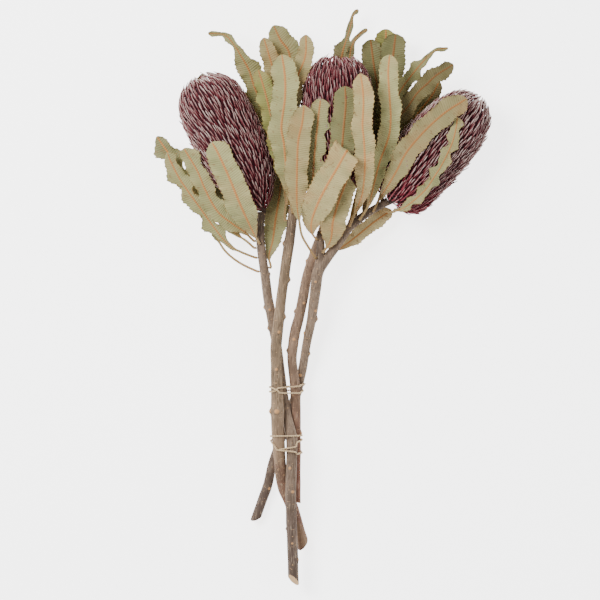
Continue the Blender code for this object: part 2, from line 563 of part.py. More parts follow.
def leaf_mesh(name, leaf):
    """A thin toothed blade: both faces are cut into triangles alike, so they never cross."""
    stations = 2 * leaf["teeth"] + 1
    lateral = (-1.0, 0.0, 1.0)
    rows = leaf_rows(leaf, stations, lateral)
    width = len(lateral)
    half = 0.5 * LEAF_THICKNESS
    points = []
    for row, normal in rows:
        points += [place(p + normal * half) for p in row]
        points += [place(p - normal * half) for p in row]
    ring = 2 * width
    faces = []
    for i in range(stations - 1):
        a, b = i * ring, (i + 1) * ring
        for k in range(width - 1):
            for top in (0, width):
                quad = (a + top + k, a + top + k + 1, b + top + k + 1, b + top + k)
                faces += [(quad[0], quad[1], quad[2]), (quad[0], quad[2], quad[3])]
        for edge in (0, width - 1):
            faces.append((a + edge, a + width + edge, b + width + edge, b + edge))
    for start in (0, (stations - 1) * ring):
        faces.append(tuple([start + k for k in range(width)] + [start + ring - 1 - k for k in range(width)]))
    return mesh_object(name, points, faces, leaf["finish"])


for leaf_name, leaf in LEAVES.items():
    leaf_mesh(leaf_name, leaf)


def hull_point(row, degrees, clearance):
    """Where twine pulled round the stems lies at a row of the plan, seen along the bunch."""
    sections = [stem_section(path, row)[:2] for path in (STEM_LEFT, STEM_BACK, STEM_MIDDLE, STEM_RIGHT)]
    turn = math.radians(degrees)
    outward = np.array([math.cos(turn), 0.0, math.sin(turn)])
    centre, radius = max(sections, key=lambda s: s[0] @ outward + s[1])
    return np.array([centre[0], row, centre[2]]) + outward * (radius + clearance)


def tie(name, turns):
    """Twine wound round the stems: each row gives an angle, a plan row and how far it stands off."""
    resting = 0.5 * TWINE_DIAMETER + SEAT_GAP
    path = []
    for degrees, row, stand in turns:
        path.append([*hull_point(row, degrees, resting + stand), 0.5 * TWINE_DIAMETER])
    return tube(name, np.array(path), TWINE_SIDES, TWINE)


def winding(marks, step=18.0):
    """Evenly spread steps between the marks (degrees, plan row, stand-off) of a wound twine."""
    marks = np.array(marks, float)
    wound = np.concatenate([[0.0], np.cumsum(np.abs(np.diff(marks[:, 0])))])
    places = np.linspace(0.0, wound[-1], int(wound[-1] / step) + 1)
    return [[np.interp(place_now, wound, marks[:, k]) for k in range(3)] for place_now in places]


OVER = TWINE_DIAMETER + 0.6   # how far a strand stands off where it crosses another
# Angles grow from the right side (0) over the top (90) to the left side (180) and the underside (270)
tie("tie_upper", winding([
    (-40, 386.5, 0), (0, 384, 0), (60, 387, 0), (95, 390.6, 0), (120, 391.5, 0), (180, 391.8, 0),
    (250, 391.0, 0), (320, 390.5, 0), (360, 391.5, 0), (400, 393.4, 0), (420, 393.0, OVER * 0.7),
    (434, 392.2, OVER), (462, 388.8, OVER), (490, 387.6, OVER * 0.4), (540, 387.0, 0), (640, 387.0, 0)]))
tie("tie_lower", winding([
    (84, 449.4, 0), (60, 446.5, 0), (30, 442.4, 0), (0, 440, 0), (-60, 440.2, 0), (-110, 440, 0),
    (-140, 438.8, 0), (-170, 436.4, 0), (-180, 436.0, 0), (-270, 436.0, 0), (-360, 436.2, 0),
    (-420, 436.4, 0), (-466, 436.6, 0), (-486, 437.0, OVER), (-515, 439.6, OVER), (-540, 441.0, 0),
    (-590, 445, 0), (-615, 448.6, OVER), (-640, 451.4, OVER), (-680, 454.3, 0), (-720, 453.8, 0),
    (-780, 451.5, 0), (-810, 450.5, 0)]))
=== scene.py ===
# %% [markdown]
# # A tied bunch of dried banksia
# The solid model gives every head, leaf, stem and tie its place and its size. This script dresses it:
# each solid is replaced by a finer surface that follows the same curves, with a material made of nodes.
# Plan positions are pixels of the photograph, because one pixel is one millimetre on the real bunch.

# %%
# Load the solid model
import math

import bmesh
import bpy
import numpy as np
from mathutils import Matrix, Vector, noise

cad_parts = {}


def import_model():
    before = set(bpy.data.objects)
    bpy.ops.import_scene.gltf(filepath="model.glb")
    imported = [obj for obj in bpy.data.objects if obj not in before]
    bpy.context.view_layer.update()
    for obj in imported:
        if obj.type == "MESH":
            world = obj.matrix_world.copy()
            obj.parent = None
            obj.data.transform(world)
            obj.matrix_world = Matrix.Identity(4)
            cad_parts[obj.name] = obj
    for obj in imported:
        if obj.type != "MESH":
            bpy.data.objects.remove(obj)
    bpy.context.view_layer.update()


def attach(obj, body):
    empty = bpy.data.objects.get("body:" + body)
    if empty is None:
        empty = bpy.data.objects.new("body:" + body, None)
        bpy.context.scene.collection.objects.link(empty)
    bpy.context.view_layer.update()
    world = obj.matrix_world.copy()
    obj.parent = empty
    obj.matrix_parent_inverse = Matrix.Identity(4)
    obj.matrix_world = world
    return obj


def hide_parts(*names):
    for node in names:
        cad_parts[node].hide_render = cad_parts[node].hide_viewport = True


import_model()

# %% [markdown]
# ## Shared helpers
# All shapes are worked out in plan coordinates: x to the right, y down the photograph, z up, in
# millimetres. Only the mesh builder turns them into metres. That keeps every table readable beside
# the photograph.

# %%
# Plan coordinates, smooth curves and the mesh builder
MM = 0.001
PLAN_CENTRE = np.array([321.0, 294.6])
UP = np.array([0.0, 0.0, 1.0])


def world(points):
    """Plan points in millimetres to metres."""
    p = np.asarray(points, float)
    return np.stack([p[:, 0] - PLAN_CENTRE[0], PLAN_CENTRE[1] - p[:, 1], p[:, 2]], axis=1) * MM


def unit(vector):
    return vector / np.linalg.norm(vector)


def tangents(path):
    return np.array([unit(v) for v in np.gradient(path[:, :3], axis=0)])


def smooth_curve(points, count):
    """Points evenly spaced along a smooth curve through the given rows; extra columns follow."""
    rows = np.array(points, float)
    rows = np.vstack([2 * rows[0] - rows[1], rows, 2 * rows[-1] - rows[-2]])
    dense = []
    for i in range(1, len(rows) - 2):
        a, b, c, d = rows[i - 1:i + 3]
        for t in np.linspace(0.0, 1.0, 24, endpoint=False):
            dense.append(0.5 * (2 * b + (c - a) * t + (2 * a - 5 * b + 4 * c - d) * t ** 2
                                + (3 * b - a - 3 * c + d) * t ** 3))
    dense.append(rows[-2])
    dense = np.array(dense)
    along = np.concatenate([[0.0], np.cumsum(np.linalg.norm(np.diff(dense[:, :3], axis=0), axis=1))])
    wanted = np.linspace(0.0, along[-1], count)
    return np.column_stack([np.interp(wanted, along, dense[:, k]) for k in range(rows.shape[1])])


def grid_faces(rows, columns, closed=True, first=0):
    """Quads of a grid of points; a closed one joins its last column to its first."""
    i = np.arange(rows - 1)[:, None]
    k = np.arange(columns if closed else columns - 1)[None, :]
    after = (k + 1) % columns
    quads = np.stack([i * columns + k, i * columns + after, (i + 1) * columns + after, (i + 1) * columns + k], -1)
    return (quads.reshape(-1, 4) + first).tolist()


def piece(name, points, faces, finish, layers=None):
    """A shown piece in place of the solid of the same name, with named values on its points."""
    mesh = bpy.data.meshes.new(name)
    mesh.from_pydata(world(points).tolist(), [], faces)
    shape = bmesh.new()
    shape.from_mesh(mesh)
    bmesh.ops.recalc_face_normals(shape, faces=shape.faces)
    shape.to_mesh(mesh)
    shape.free()
    for key, values in (layers or {}).items():
        mesh.attributes.new(key, "FLOAT", "POINT").data.foreach_set("value", np.asarray(values, float))
    mesh.materials.append(finish)
    mesh.shade_smooth()
    made = bpy.data.objects.new(name + "_fine", mesh)
    bpy.context.scene.collection.objects.link(made)
    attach(made, "root")
    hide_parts(name)
    return made


def wobble(points, scale, seed):
    """Smooth noise from -1 to 1 at plan points, one value a point."""
    shift = Vector((seed * 7.31, seed * 3.17, seed * 5.03))
    return np.array([noise.noise(Vector(p) * scale + shift) for p in points])


# %% [markdown]
# ## Materials from nodes
# Each material starts from one colour and mixes others over it. The mixes are driven by values stored
# on the points, such as how near a point is to a leaf's edge, and by noise. Everything works in the
# object's own coordinates, so nothing slides when the view changes.


# %%
# A small builder for node materials
class Finish:
    """A node material that is put together one mix at a time."""

    def __init__(self, name, colour, roughness):
        self.material = bpy.data.materials.new(name)
        self.material.use_nodes = True
        self.nodes = self.material.node_tree.nodes
        self.link = self.material.node_tree.links.new
        self.shader = self.nodes["Principled BSDF"]
        self.shader.inputs["Roughness"].default_value = roughness
        self.shader.inputs["Specular IOR Level"].default_value = 0.25
        self.place = self.nodes.new("ShaderNodeTexCoord").outputs["Object"]
        self.shader.inputs["Base Color"].default_value = (*colour, 1.0)
        self.colour = None

    def value(self, key):
        """A value stored on the mesh's points."""
        node = self.nodes.new("ShaderNodeAttribute")
        node.attribute_name = key
        return node.outputs["Fac"]

    def stretched(self, scale):
        node = self.nodes.new("ShaderNodeMapping")
        node.inputs["Scale"].default_value = scale
        self.link(self.place, node.inputs["Vector"])
        return node.outputs["Vector"]

    def noise(self, scale, detail=3.0, stretch=(1.0, 1.0, 1.0)):
        node = self.nodes.new("ShaderNodeTexNoise")
        node.inputs["Scale"].default_value = scale
        node.inputs["Detail"].default_value = detail
        self.link(self.stretched(stretch), node.inputs["Vector"])
        return node.outputs["Fac"]

    def ramp(self, source, low, high, to_low=0.0, to_high=1.0):
        node = self.nodes.new("ShaderNodeMapRange")
        node.interpolation_type = "SMOOTHSTEP"
        for key, number in zip(("From Min", "From Max", "To Min", "To Max"), (low, high, to_low, to_high)):
            node.inputs[key].default_value = number
        self.link(source, node.inputs["Value"])
        return node.outputs["Result"]

    def math(self, kind, a, b):
        node = self.nodes.new("ShaderNodeMath")
        node.operation = kind
        for socket, source in zip(node.inputs, (a, b)):
            if isinstance(source, (int, float)):
                socket.default_value = source
            else:
                self.link(source, socket)
        return node.outputs[0]

    def mix(self, factor, colour, blend="MIX"):
        """Lays a colour over what is there, where the factor says."""
        node = self.nodes.new("ShaderNodeMix")
        node.data_type = "RGBA"
        node.blend_type = blend
        self.link(factor, node.inputs["Factor"])
        if self.colour is None:
            node.inputs[6].default_value = self.shader.inputs["Base Color"].default_value
        else:
            self.link(self.colour, node.inputs[6])
        node.inputs[7].default_value = (*colour, 1.0)
        self.colour = node.outputs[2]

    def bump(self, height, distance, strength=1.0):
        node = self.nodes.new("ShaderNodeBump")
        node.inputs["Strength"].default_value = strength
        node.inputs["Distance"].default_value = distance
        self.link(height, node.inputs["Height"])
        if self.shader.inputs["Normal"].is_linked:
            self.link(self.shader.inputs["Normal"].links[0].from_socket, node.inputs["Normal"])
        self.link(node.outputs["Normal"], self.shader.inputs["Normal"])

    def done(self):
        if self.colour is not None:
            self.link(self.colour, self.shader.inputs["Base Color"])
        return self.material


# %% [markdown]
# ## Floor, light and camera
# The photograph shows the bunch from straight above on white. The camera looks straight down from far
# away through a long lens, so heights hardly shift anything. Large soft lights stand on both sides,
# the left one stronger.

# %%
# The pale floor
FLOOR_DEPTH = 0.0004   # how far the floor lies below the bunch, so that nothing touches it
bpy.ops.mesh.primitive_plane_add(size=12.0, location=(0.0, 0.0, -FLOOR_DEPTH))
floor = bpy.context.object
floor.name = "floor"
floor_finish = Finish("floor_paint", (0.95, 0.95, 0.95), 0.9)
floor_finish.shader.inputs["Emission Color"].default_value = (1.0, 1.0, 1.0, 1.0)
floor_finish.shader.inputs["Emission Strength"].default_value = 3.2
floor.data.materials.append(floor_finish.done())

# %%
# Soft lights and an even sky
def soft_light(name, place, size, energy):
    lamp = bpy.data.lights.new(name, "AREA")
    lamp.shape = "SQUARE"
    lamp.size = size
    lamp.energy = energy
    stand = bpy.data.objects.new(name, lamp)
    stand.location = place
    stand.rotation_euler = (-Vector(place)).to_track_quat("-Z", "Y").to_euler()
    bpy.context.scene.collection.objects.link(stand)


soft_light("key_light", (-1.1, 0.7, 1.7), 1.0, 74.0)
soft_light("fill_light", (1.3, -0.2, 1.6), 1.6, 18.0)
sky = bpy.data.worlds.new("even_sky")
bpy.context.scene.world = sky
sky.use_nodes = True
sky.node_tree.nodes["Background"].inputs["Color"].default_value = (1.0, 1.0, 1.0, 1.0)
sky.node_tree.nodes["Background"].inputs["Strength"].default_value = 0.42

# %%
# The camera, straight above the middle of the photograph
LENS = 200.0
SENSOR = 36.0
PHOTO_WIDTH = 0.600          # metres across the photograph, at the height of the heads' middle
MIDDLE_HEIGHT = 0.035
lens = bpy.data.cameras.new("photo_camera")
lens.lens = LENS
lens.sensor_width = SENSOR
camera = bpy.data.objects.new("photo_camera", lens)
bpy.context.scene.collection.objects.link(camera)
centre = world([[300.0, 300.0, 0.0]])[0]
camera.location = (centre[0], centre[1], MIDDLE_HEIGHT + PHOTO_WIDTH * LENS / SENSOR)
bpy.context.scene.camera = camera
print("camera height", round(camera.location.z, 3))

# %% [markdown]
# ## Where the heads and stems lie
# The same tables as in the solid model: the axis of each head with its radius along the way, and the
# centre line of each stem with its radius. The fine surfaces follow them, so they fit the solids.

# %%
# The heads' axes and profiles
# Heads: base and crown on the axis, the floret surface's radius along it, and the axis height
HEADS = {
    "flower_head_left": dict(
        base=(262.0, 208.0), crown=(199.5, 79.5), height=34.0,
        profile=[(-2, 5), (4, 10.6), (12, 17), (25, 25), (45, 32), (70, 34.3), (105, 34.3),
                 (122, 32), (134, 26), (140, 16), (144, 4)]),
    "flower_head_middle": dict(
        base=(333.0, 196.0), crown=(339.0, 58.0), height=42.0,
        profile=[(-2, 6), (4, 14), (12, 23), (25, 30), (45, 34), (70, 35), (100, 34.6),
                 (118, 31), (130, 23), (136, 13), (139, 4)]),
    "flower_head_right": dict(
        base=(390.0, 199.5), crown=(479.0, 99.5), height=34.0,
        profile=[(-2, 16), (4, 25), (12, 31), (25, 33), (45, 34.3), (75, 34.3), (100, 32),
                 (118, 26), (127, 20), (132, 12), (135, 4)]),
}

# %%
# The stems' centre lines and leaf scars
# Stems: plan x, plan y, height and radius from the cut end up
STEM_LEFT = [
    (293.6, 581, 23.0, 5.3), (292.5, 550, 24.5, 5.3), (291.2, 520, 26.6, 5.3), (290.8, 505, 27.6, 5.3),
    (290.7, 485, 28.0, 5.4), (291.6, 462, 27.8, 5.5), (291.8, 440, 26.8, 5.5), (289.8, 430, 25.8, 5.4),
    (286.4, 415, 23.0, 5.1), (284.0, 400, 20.6, 5.0), (282.3, 390, 19.4, 5.0), (279.6, 368, 18.0, 4.9),
    (276.5, 345, 17.8, 4.8), (271.8, 320, 19.4, 4.9), (268.2, 300, 22.0, 4.9), (265.6, 280, 25.5, 4.7),
    (263.0, 262, 29.0, 4.5), (260.6, 243, 32.4, 4.2), (260.4, 226, 34.0, 3.9), (261.6, 212, 34.0, 4.2)]
STEM_BACK = [
    (302.6, 545, 9.0, 6.4), (297.6, 528, 12.2, 6.1), (292.4, 510, 15.4, 6.0), (288.6, 500, 16.8, 6.0),
    (283.9, 489, 18.4, 6.0), (281.2, 478, 20.8, 5.9), (280.0, 466, 24.0, 5.9), (279.0, 453, 27.6, 6.0),
    (278.4, 440, 30.2, 6.2), (277.4, 428, 31.4, 6.3), (277.4, 412, 31.6, 6.5), (277.0, 400, 31.4, 6.1),
    (276.8, 388, 31.2, 6.0), (276.4, 370, 31.2, 5.8), (276.0, 350, 31.4, 5.7), (278.2, 325, 31.8, 5.4),
    (281.0, 300, 32.0, 5.1), (283.6, 280, 32.0, 5.1), (286.6, 260, 32.0, 5.2), (289.6, 240, 31.6, 5.1),
    (292.2, 220, 31.0, 4.8), (294.0, 200, 30.0, 4.0)]
STEM_MIDDLE = [
    (295.6, 504, 5.5, 5.0), (295.4, 490, 7.0, 5.1), (295.5, 480, 9.0, 5.2), (295.5, 460, 13.0, 5.2),
    (295.6, 440, 15.4, 5.2), (295.6, 420, 17.2, 5.2), (295.6, 405, 18.2, 5.2), (295.4, 392, 19.2, 5.1),
    (294.0, 378, 20.0, 4.9), (292.0, 360, 20.6, 4.8), (293.2, 344, 21.0, 5.2), (295.8, 329, 21.2, 5.4),
    (299.2, 317, 21.5, 5.1), (302.6, 300, 21.8, 5.2), (305.2, 285, 21.8, 5.0), (308.2, 271, 21.8, 4.8),
    (312.0, 260, 22.0, 4.7), (316.2, 248, 22.4, 4.6), (320.4, 236, 24.0, 4.4), (325.0, 222, 29.5, 4.2),
    (329.6, 209, 36.5, 4.0), (332.6, 200.5, 41.0, 4.0)]
STEM_RIGHT = [
    (256.0, 519, 5.0, 4.8), (262.3, 501, 5.2, 4.8), (267.2, 487, 5.4, 4.7), (272.6, 464, 6.4, 4.6),
    (281.0, 440, 7.6, 4.6), (287.4, 420, 7.8, 4.6), (292.6, 405, 8.0, 4.6), (297.4, 392, 9.0, 4.6),
    (300.0, 380, 10.8, 4.6), (302.4, 370, 12.8, 4.5), (304.0, 360, 15.0, 4.4), (307.4, 340, 19.4, 4.4),
    (311.6, 320, 23.2, 4.7), (314.3, 300, 27.4, 5.1), (316.0, 286, 30.2, 5.4), (318.6, 271, 32.4, 5.6),
    (325.6, 260, 33.0, 5.0), (334.0, 249, 33.4, 4.7), (341.5, 238.5, 33.8, 4.4), (350.0, 227, 34.0, 4.2),
    (360.5, 218, 34.0, 4.0), (371.5, 210.5, 34.0, 3.8), (381.0, 205.0, 34.0, 3.8), (388.2, 201, 34.0, 4.2)]
STEM_RIGHT_TWIG = [
    (318.4, 272, 32.4, 4.6), (320.2, 259, 33.6, 4.6), (320.8, 248, 34.2, 4.2), (320.4, 238, 34.6, 3.6),
    (319.6, 231, 34.8, 2.9)]
# Leaf scars standing off a stem: row of the photograph, angle round the stem and size
SCARS = {
    "stem_left": [(560, 20, 1.6), (543, 90, 1.3), (529, 200, 1.4), (493, 70, 1.7), (468, 105, 1.7), (327, 170, 1.9), (309, 95, 1.4), (306, 178, 1.9),
                  (274, 5, 1.5)],
    "stem_back": [(412, 95, 2.6), (412, 175, 2.4), (369, 90, 1.7), (331, 75, 1.7), (317, 5, 2.2),
                  (278, 0, 2.2), (243, 180, 2.2)],
    "stem_middle": [(434, 15, 2.0), (351, 175, 1.8), (340, 90, 1.7), (312, 180, 1.8), (303, 70, 1.6),
                    (262, 170, 1.8)],
    "stem_right": [(489, 60, 1.6), (375, 100, 1.9), (353, 15, 1.8), (333, 150, 1.7), (318, 5, 2.2),
                   (310, 60, 1.6), (280, 100, 1.5)],
}

# %%
# Helpers for points on a stem
STEM_CURVES = {}


def stem_section(path, row):
    """Centre, radius, direction and sideways direction of a stem where it crosses a plan row."""
    if path[0] not in STEM_CURVES:
        STEM_CURVES[path[0]] = smooth_curve(path, 160)
    dense = STEM_CURVES[path[0]]
    index = int(np.argmin(np.abs(dense[:, 1] - row)))
    direction = tangents(dense)[index]
    return dense[index, :3], dense[index, 3], direction, unit(np.cross(direction, -UP))


def on_stem(path, row, degrees, gap=0.0):
    """A point on a stem's bark; 0 degrees is to the right, 90 faces up off the table."""
    centre, radius, direction, side = stem_section(path, row)
    if side[0] < 0:
        side = -side
    up = unit(np.cross(side, direction))
    if up[2] < 0:
        up = -up
    outward = math.cos(math.radians(degrees)) * side + math.sin(math.radians(degrees)) * up
    return centre + outward * (radius + gap), outward


def frames(path):
    """Directions, sideways and upward vectors along a path, turning as little as they can."""
    direction = tangents(path)
    side = unit(np.cross(direction[0], UP))
    sides = []
    for way in direction:
        side = unit(side - way * (side @ way))
        sides.append(side)
    sides = np.array(sides)
    return direction, sides, np.cross(sides, direction)


# %% [markdown]
# ## Stems
# A stem is a tube with many sides. Noise that is long along the stem and short around it gives the
# wrinkled bark, a slow swelling and a bump under each leaf scar keep it from looking turned, and both
# ends are closed with a pale cut. The scars carry an orange tan colour.

# %%
# Bark, with lengthwise grain, scars and cut wood, and painted shade at the stems' tops where they run under leaves and
# heads
PAINTED_SHADE_AT_TOP = (0.070, 0.047, 0.034)


def bark(name, colour, low_colour, pale):
    finish = Finish(name, colour, 0.85)
    finish.mix(finish.ramp(finish.value("low"), 0.2, 0.9), low_colour)
    # Near the top end the low value goes below zero: painted shade where the stem runs under leaves and heads
    finish.mix(finish.ramp(finish.value("low"), -0.1, -0.9, 0.0, 0.9), PAINTED_SHADE_AT_TOP)
    grain = finish.noise(900.0, 4.0, (1.0, 0.13, 1.0))
    finish.mix(finish.ramp(grain, 0.52, 0.72, 0.0, 0.65), pale)
    finish.mix(finish.ramp(grain, 0.47, 0.30, 0.0, 0.75), [0.3 * c for c in colour])
    patches = finish.noise(70.0, 3.0, (1.0, 0.5, 1.0))
    finish.mix(finish.ramp(patches, 0.50, 0.70, 0.0, 0.55), [1.5 * c for c in colour])
    finish.mix(finish.ramp(patches, 0.46, 0.32, 0.0, 0.5), [0.5 * c for c in colour])
    flecks = finish.noise(520.0, 1.0, (0.7, 1.6, 0.7))
    finish.mix(finish.ramp(flecks, 0.68, 0.74, 0.0, 0.8), (0.50, 0.30, 0.15))
    finish.mix(finish.ramp(finish.value("scar"), 0.35, 0.8, 0.0, 0.85), (0.52, 0.27, 0.11))
    finish.mix(finish.ramp(finish.value("cut"), 0.4, 0.6), (0.50, 0.32, 0.16))
    finish.bump(grain, 0.0006, 0.9)
    finish.bump(patches, 0.0012, 0.5)
    return finish.done()


BARK = bark("grey_brown_bark_fine", (0.176, 0.122, 0.084), (0.085, 0.058, 0.046), (0.315, 0.24, 0.172))
REDDISH_BARK = bark("reddish_bark_fine", (0.185, 0.118, 0.078), (0.17, 0.070, 0.046), (0.33, 0.225, 0.15))
RED_FOOT_BARK = bark("red_foot_bark_fine", (0.190, 0.130, 0.080), (0.13, 0.058, 0.040), (0.34, 0.255, 0.165))
print("bark materials made")

# %%
# Fine stems
STEM_TURNS = 44              # points round a stem
STEM_PITCH = 1.1             # distance between rings, mm
SLANT = {"stem_left": 2.2, "stem_back": -1.6, "stem_middle": 0.6, "stem_right": -2.0}


def scar_marks(path, scars):
    return [(on_stem(path, row, degrees)[0], size) for row, degrees, size in scars]


def bark_tube(path, marks, seed, slant=0.0, first=0):
    """Points, quads and stored values of one closed tube of bark."""
    length = float(np.sum(np.linalg.norm(np.diff(np.array(path)[:, :3], axis=0), axis=1)))
    rows = smooth_curve(path, max(8, int(length / STEM_PITCH)))
    direction, side, up = frames(rows)
    turn = np.linspace(0.0, 2 * math.pi, STEM_TURNS, endpoint=False)
    around = (np.cos(turn)[None, :, None] * side[:, None, :] + np.sin(turn)[None, :, None] * up[:, None, :])
    along = np.linspace(0.0, length, len(rows))
    grain = np.array([[noise.noise(Vector((2.6 * math.cos(a), 2.6 * math.sin(a), s * 0.07 + seed * 9.0)))
                       for a in turn] for s in along])
    lump = np.array([[noise.noise(Vector((0.8 * math.cos(a), 0.8 * math.sin(a), s * 0.045 + seed * 5.0)))
                      for a in turn] for s in along])
    radius = rows[:, 3:4] * (1.0 + 0.05 * grain + 0.07 * lump)
    points = rows[:, None, :3] + around * radius[:, :, None]
    scar = np.zeros(radius.shape)
    for place, size in marks:
        far = np.linalg.norm(points - place, axis=2)
        near = np.exp(-(far / (1.1 * size)) ** 2)
        points = points + around * (0.85 * size * near)[:, :, None]
        scar = np.maximum(scar, near)
    reach = 6.0 + 1.1 * abs(slant) * rows[0, 3]
    shear = np.exp(-(along / reach) ** 2)[:, None] * np.cos(turn - 0.8)[None, :] * 0.5 * slant * radius
    points = points + direction[:, None, :] * shear[:, :, None]
    # low is 1 at the cut end and fades to 0 at just over half the length; near the top end it goes below zero, which
    # paints shade where the stem runs under leaves and heads
    low = np.clip(1.0 - along / (0.55 * length), 0.0, 1.0) - np.clip(1.45 - (length - along) / 50.0, 0.0, 1.0)
    low = low[:, None] * np.ones((1, STEM_TURNS))
    cloud, cut = [points.reshape(-1, 3)], [np.zeros(points.shape[0] * STEM_TURNS)]
    faces = grid_faces(len(rows), STEM_TURNS, first=first)
    count = points.shape[0] * STEM_TURNS
    for ring in (0, len(rows) - 1):
        middle = points[ring].mean(axis=0)
        for share in (0.97, 0.55):
            cloud.append(middle + (points[ring] - middle) * share)
        cloud.append(middle[None, :])
        cut.append(np.ones(2 * STEM_TURNS + 1))
        loops = [ring * STEM_TURNS, count, count + STEM_TURNS]
        for a, b in zip(loops, loops[1:]):
            for k in range(STEM_TURNS):
                n = (k + 1) % STEM_TURNS
                faces.append((first + a + k, first + a + n, first + b + n, first + b + k))
        hub = count + 2 * STEM_TURNS
        faces += [(first + loops[2] + k, first + loops[2] + (k + 1) % STEM_TURNS, first + hub)
                  for k in range(STEM_TURNS)]
        count = hub + 1
    extra = count - scar.size
    return (np.vstack(cloud), faces, np.concatenate([scar.ravel(), np.zeros(extra)]),
            np.concatenate([low.ravel(), np.zeros(extra)]), np.concatenate(cut))


def fine_stem(name, paths, finish):
    marks = scar_marks(paths[0], SCARS[name])
    clouds, faces, scars, lows, cuts = [], [], [], [], []
    for number, path in enumerate(paths):
        first = sum(len(c) for c in clouds)
        slant = SLANT[name] if number == 0 else 0.0
        cloud, quads, scar, low, cut = bark_tube(path, marks, len(name) + number, slant, first)
        clouds.append(cloud)
        faces += quads
        scars.append(scar)
        lows.append(low)
        cuts.append(cut)
    made = piece(name, np.vstack(clouds), faces, finish,
                 {"scar": np.concatenate(scars), "low": np.concatenate(lows), "cut": np.concatenate(cuts)})
    print(name, "faces:", len(made.data.polygons))


fine_stem("stem_left", [STEM_LEFT], BARK)
fine_stem("stem_back", [STEM_BACK], RED_FOOT_BARK)
fine_stem("stem_middle", [STEM_MIDDLE], REDDISH_BARK)
fine_stem("stem_right", [STEM_RIGHT, STEM_RIGHT_TWIG], BARK)

# %% [markdown]
# ## Flower heads
# A banksia head is a spike of about a thousand slender florets. Here each one is a four-sided strand
# with a width that swells and tapers. It starts under the surface, rises, and lies along it towards the
# crown. Rings of strands are staggered, which draws the diagonal rows of the real spike. Arc length
# along the profile places the rings, so the strands close over the crown like the real ones.

# %%
# Floret material: deep burgundy at the root, frosted mauve and silver on the outer side
florets = Finish("mauve_florets_fine", (0.050, 0.006, 0.012), 0.75)
reach = florets.value("reach")
florets.mix(florets.ramp(reach, 0.10, 0.50, 0.0, 0.95), (0.130, 0.015, 0.022))
florets.mix(florets.ramp(florets.value("crimson"), 0.1, 1.0, 0.0, 0.8), (0.24, 0.012, 0.035))
florets.mix(florets.ramp(florets.value("frost"), 0.12, 0.85, 0.0, 0.95), (0.51, 0.41, 0.365))
florets.mix(florets.ramp(florets.noise(160.0, 2.0), 0.55, 0.75, 0.0, 0.25), (0.16, 0.02, 0.03))
florets.mix(florets.ramp(florets.value("neck"), 0.3, 0.7), (0.045, 0.024, 0.018))
florets.bump(florets.noise(2500.0, 2.0), 0.0003, 0.5)
FLORETS = florets.done()

# %%
# Strands laid over a head's profile
STRAND_LENGTH = 15.0
STRAND_WIDTH = 1.5
ROW_PITCH = 4.6              # distance between rings along the surface, mm
RING_SPACING = 3.8           # distance between strands round a ring, mm
SKEW = 0.10                  # how far a strand leans round the head as it goes up
STEPS = np.array([0.0, 0.14, 0.30, 0.48, 0.68, 0.86, 1.0])
RISE = np.array([-6.5, -3.6, -1.5, -0.5, 0.1, 0.5, 0.6])
SWELL = np.array([0.45, 0.62, 0.85, 1.0, 1.0, 0.78, 0.28])


def head_axis(head):
    """Base point, direction and sideways direction of a head, in plan pixels with y downward."""
    base, crown = np.array(head["base"]), np.array(head["crown"])
    along = unit(crown - base)
    return base, along, np.array([-along[1], along[0]])


def profile_curve(head):
    """Distance, radius and outward normal of a head's profile at even steps of arc length."""
    rows = smooth_curve([(s, r, 0.0) for s, r in head["profile"]], 400)[:, :2]
    arc = np.concatenate([[0.0], np.cumsum(np.linalg.norm(np.diff(rows, axis=0), axis=1))])
    slope = np.gradient(rows, axis=0)
    slope /= np.linalg.norm(slope, axis=1)[:, None]
    return arc, rows, np.stack([-slope[:, 1], slope[:, 0]], axis=1)


def on_profile(curve, arc_place, rise):
    """Distance along the axis and radius at an arc length, lifted off the profile."""
    arc, rows, normal = curve
    place = np.clip(arc_place, 0.0, arc[-1])
    point = [np.interp(place, arc, rows[:, k]) + rise * np.interp(place, arc, normal[:, k]) for k in (0, 1)]
    return point[0] + np.minimum(arc_place, 0.0), np.maximum(point[1], 0.25)


def strand_rings(curve, crown_open, random):
    """One row for each strand: arc length of its foot, its angle round the axis, 1 inside the crown."""
    arc_total = curve[0][-1]
    feet = []
    for row in range(int((arc_total + 1.0) / ROW_PITCH)):
        foot = -4.0 + row * ROW_PITCH
        inner = foot > arc_total - crown_open - 4.0
        around = float(on_profile(curve, np.array([foot + 8.0]), 0.0)[1][0])
        count = max(5, round(2 * math.pi * around / RING_SPACING))
        for k in range(count):
            feet.append((foot + random.uniform(-1.1, 1.1),
                         2 * math.pi * (k + 0.5 * row) / count + random.uniform(-0.9, 0.9) / max(around, 5.0),
                         float(inner)))
    return np.array(feet)


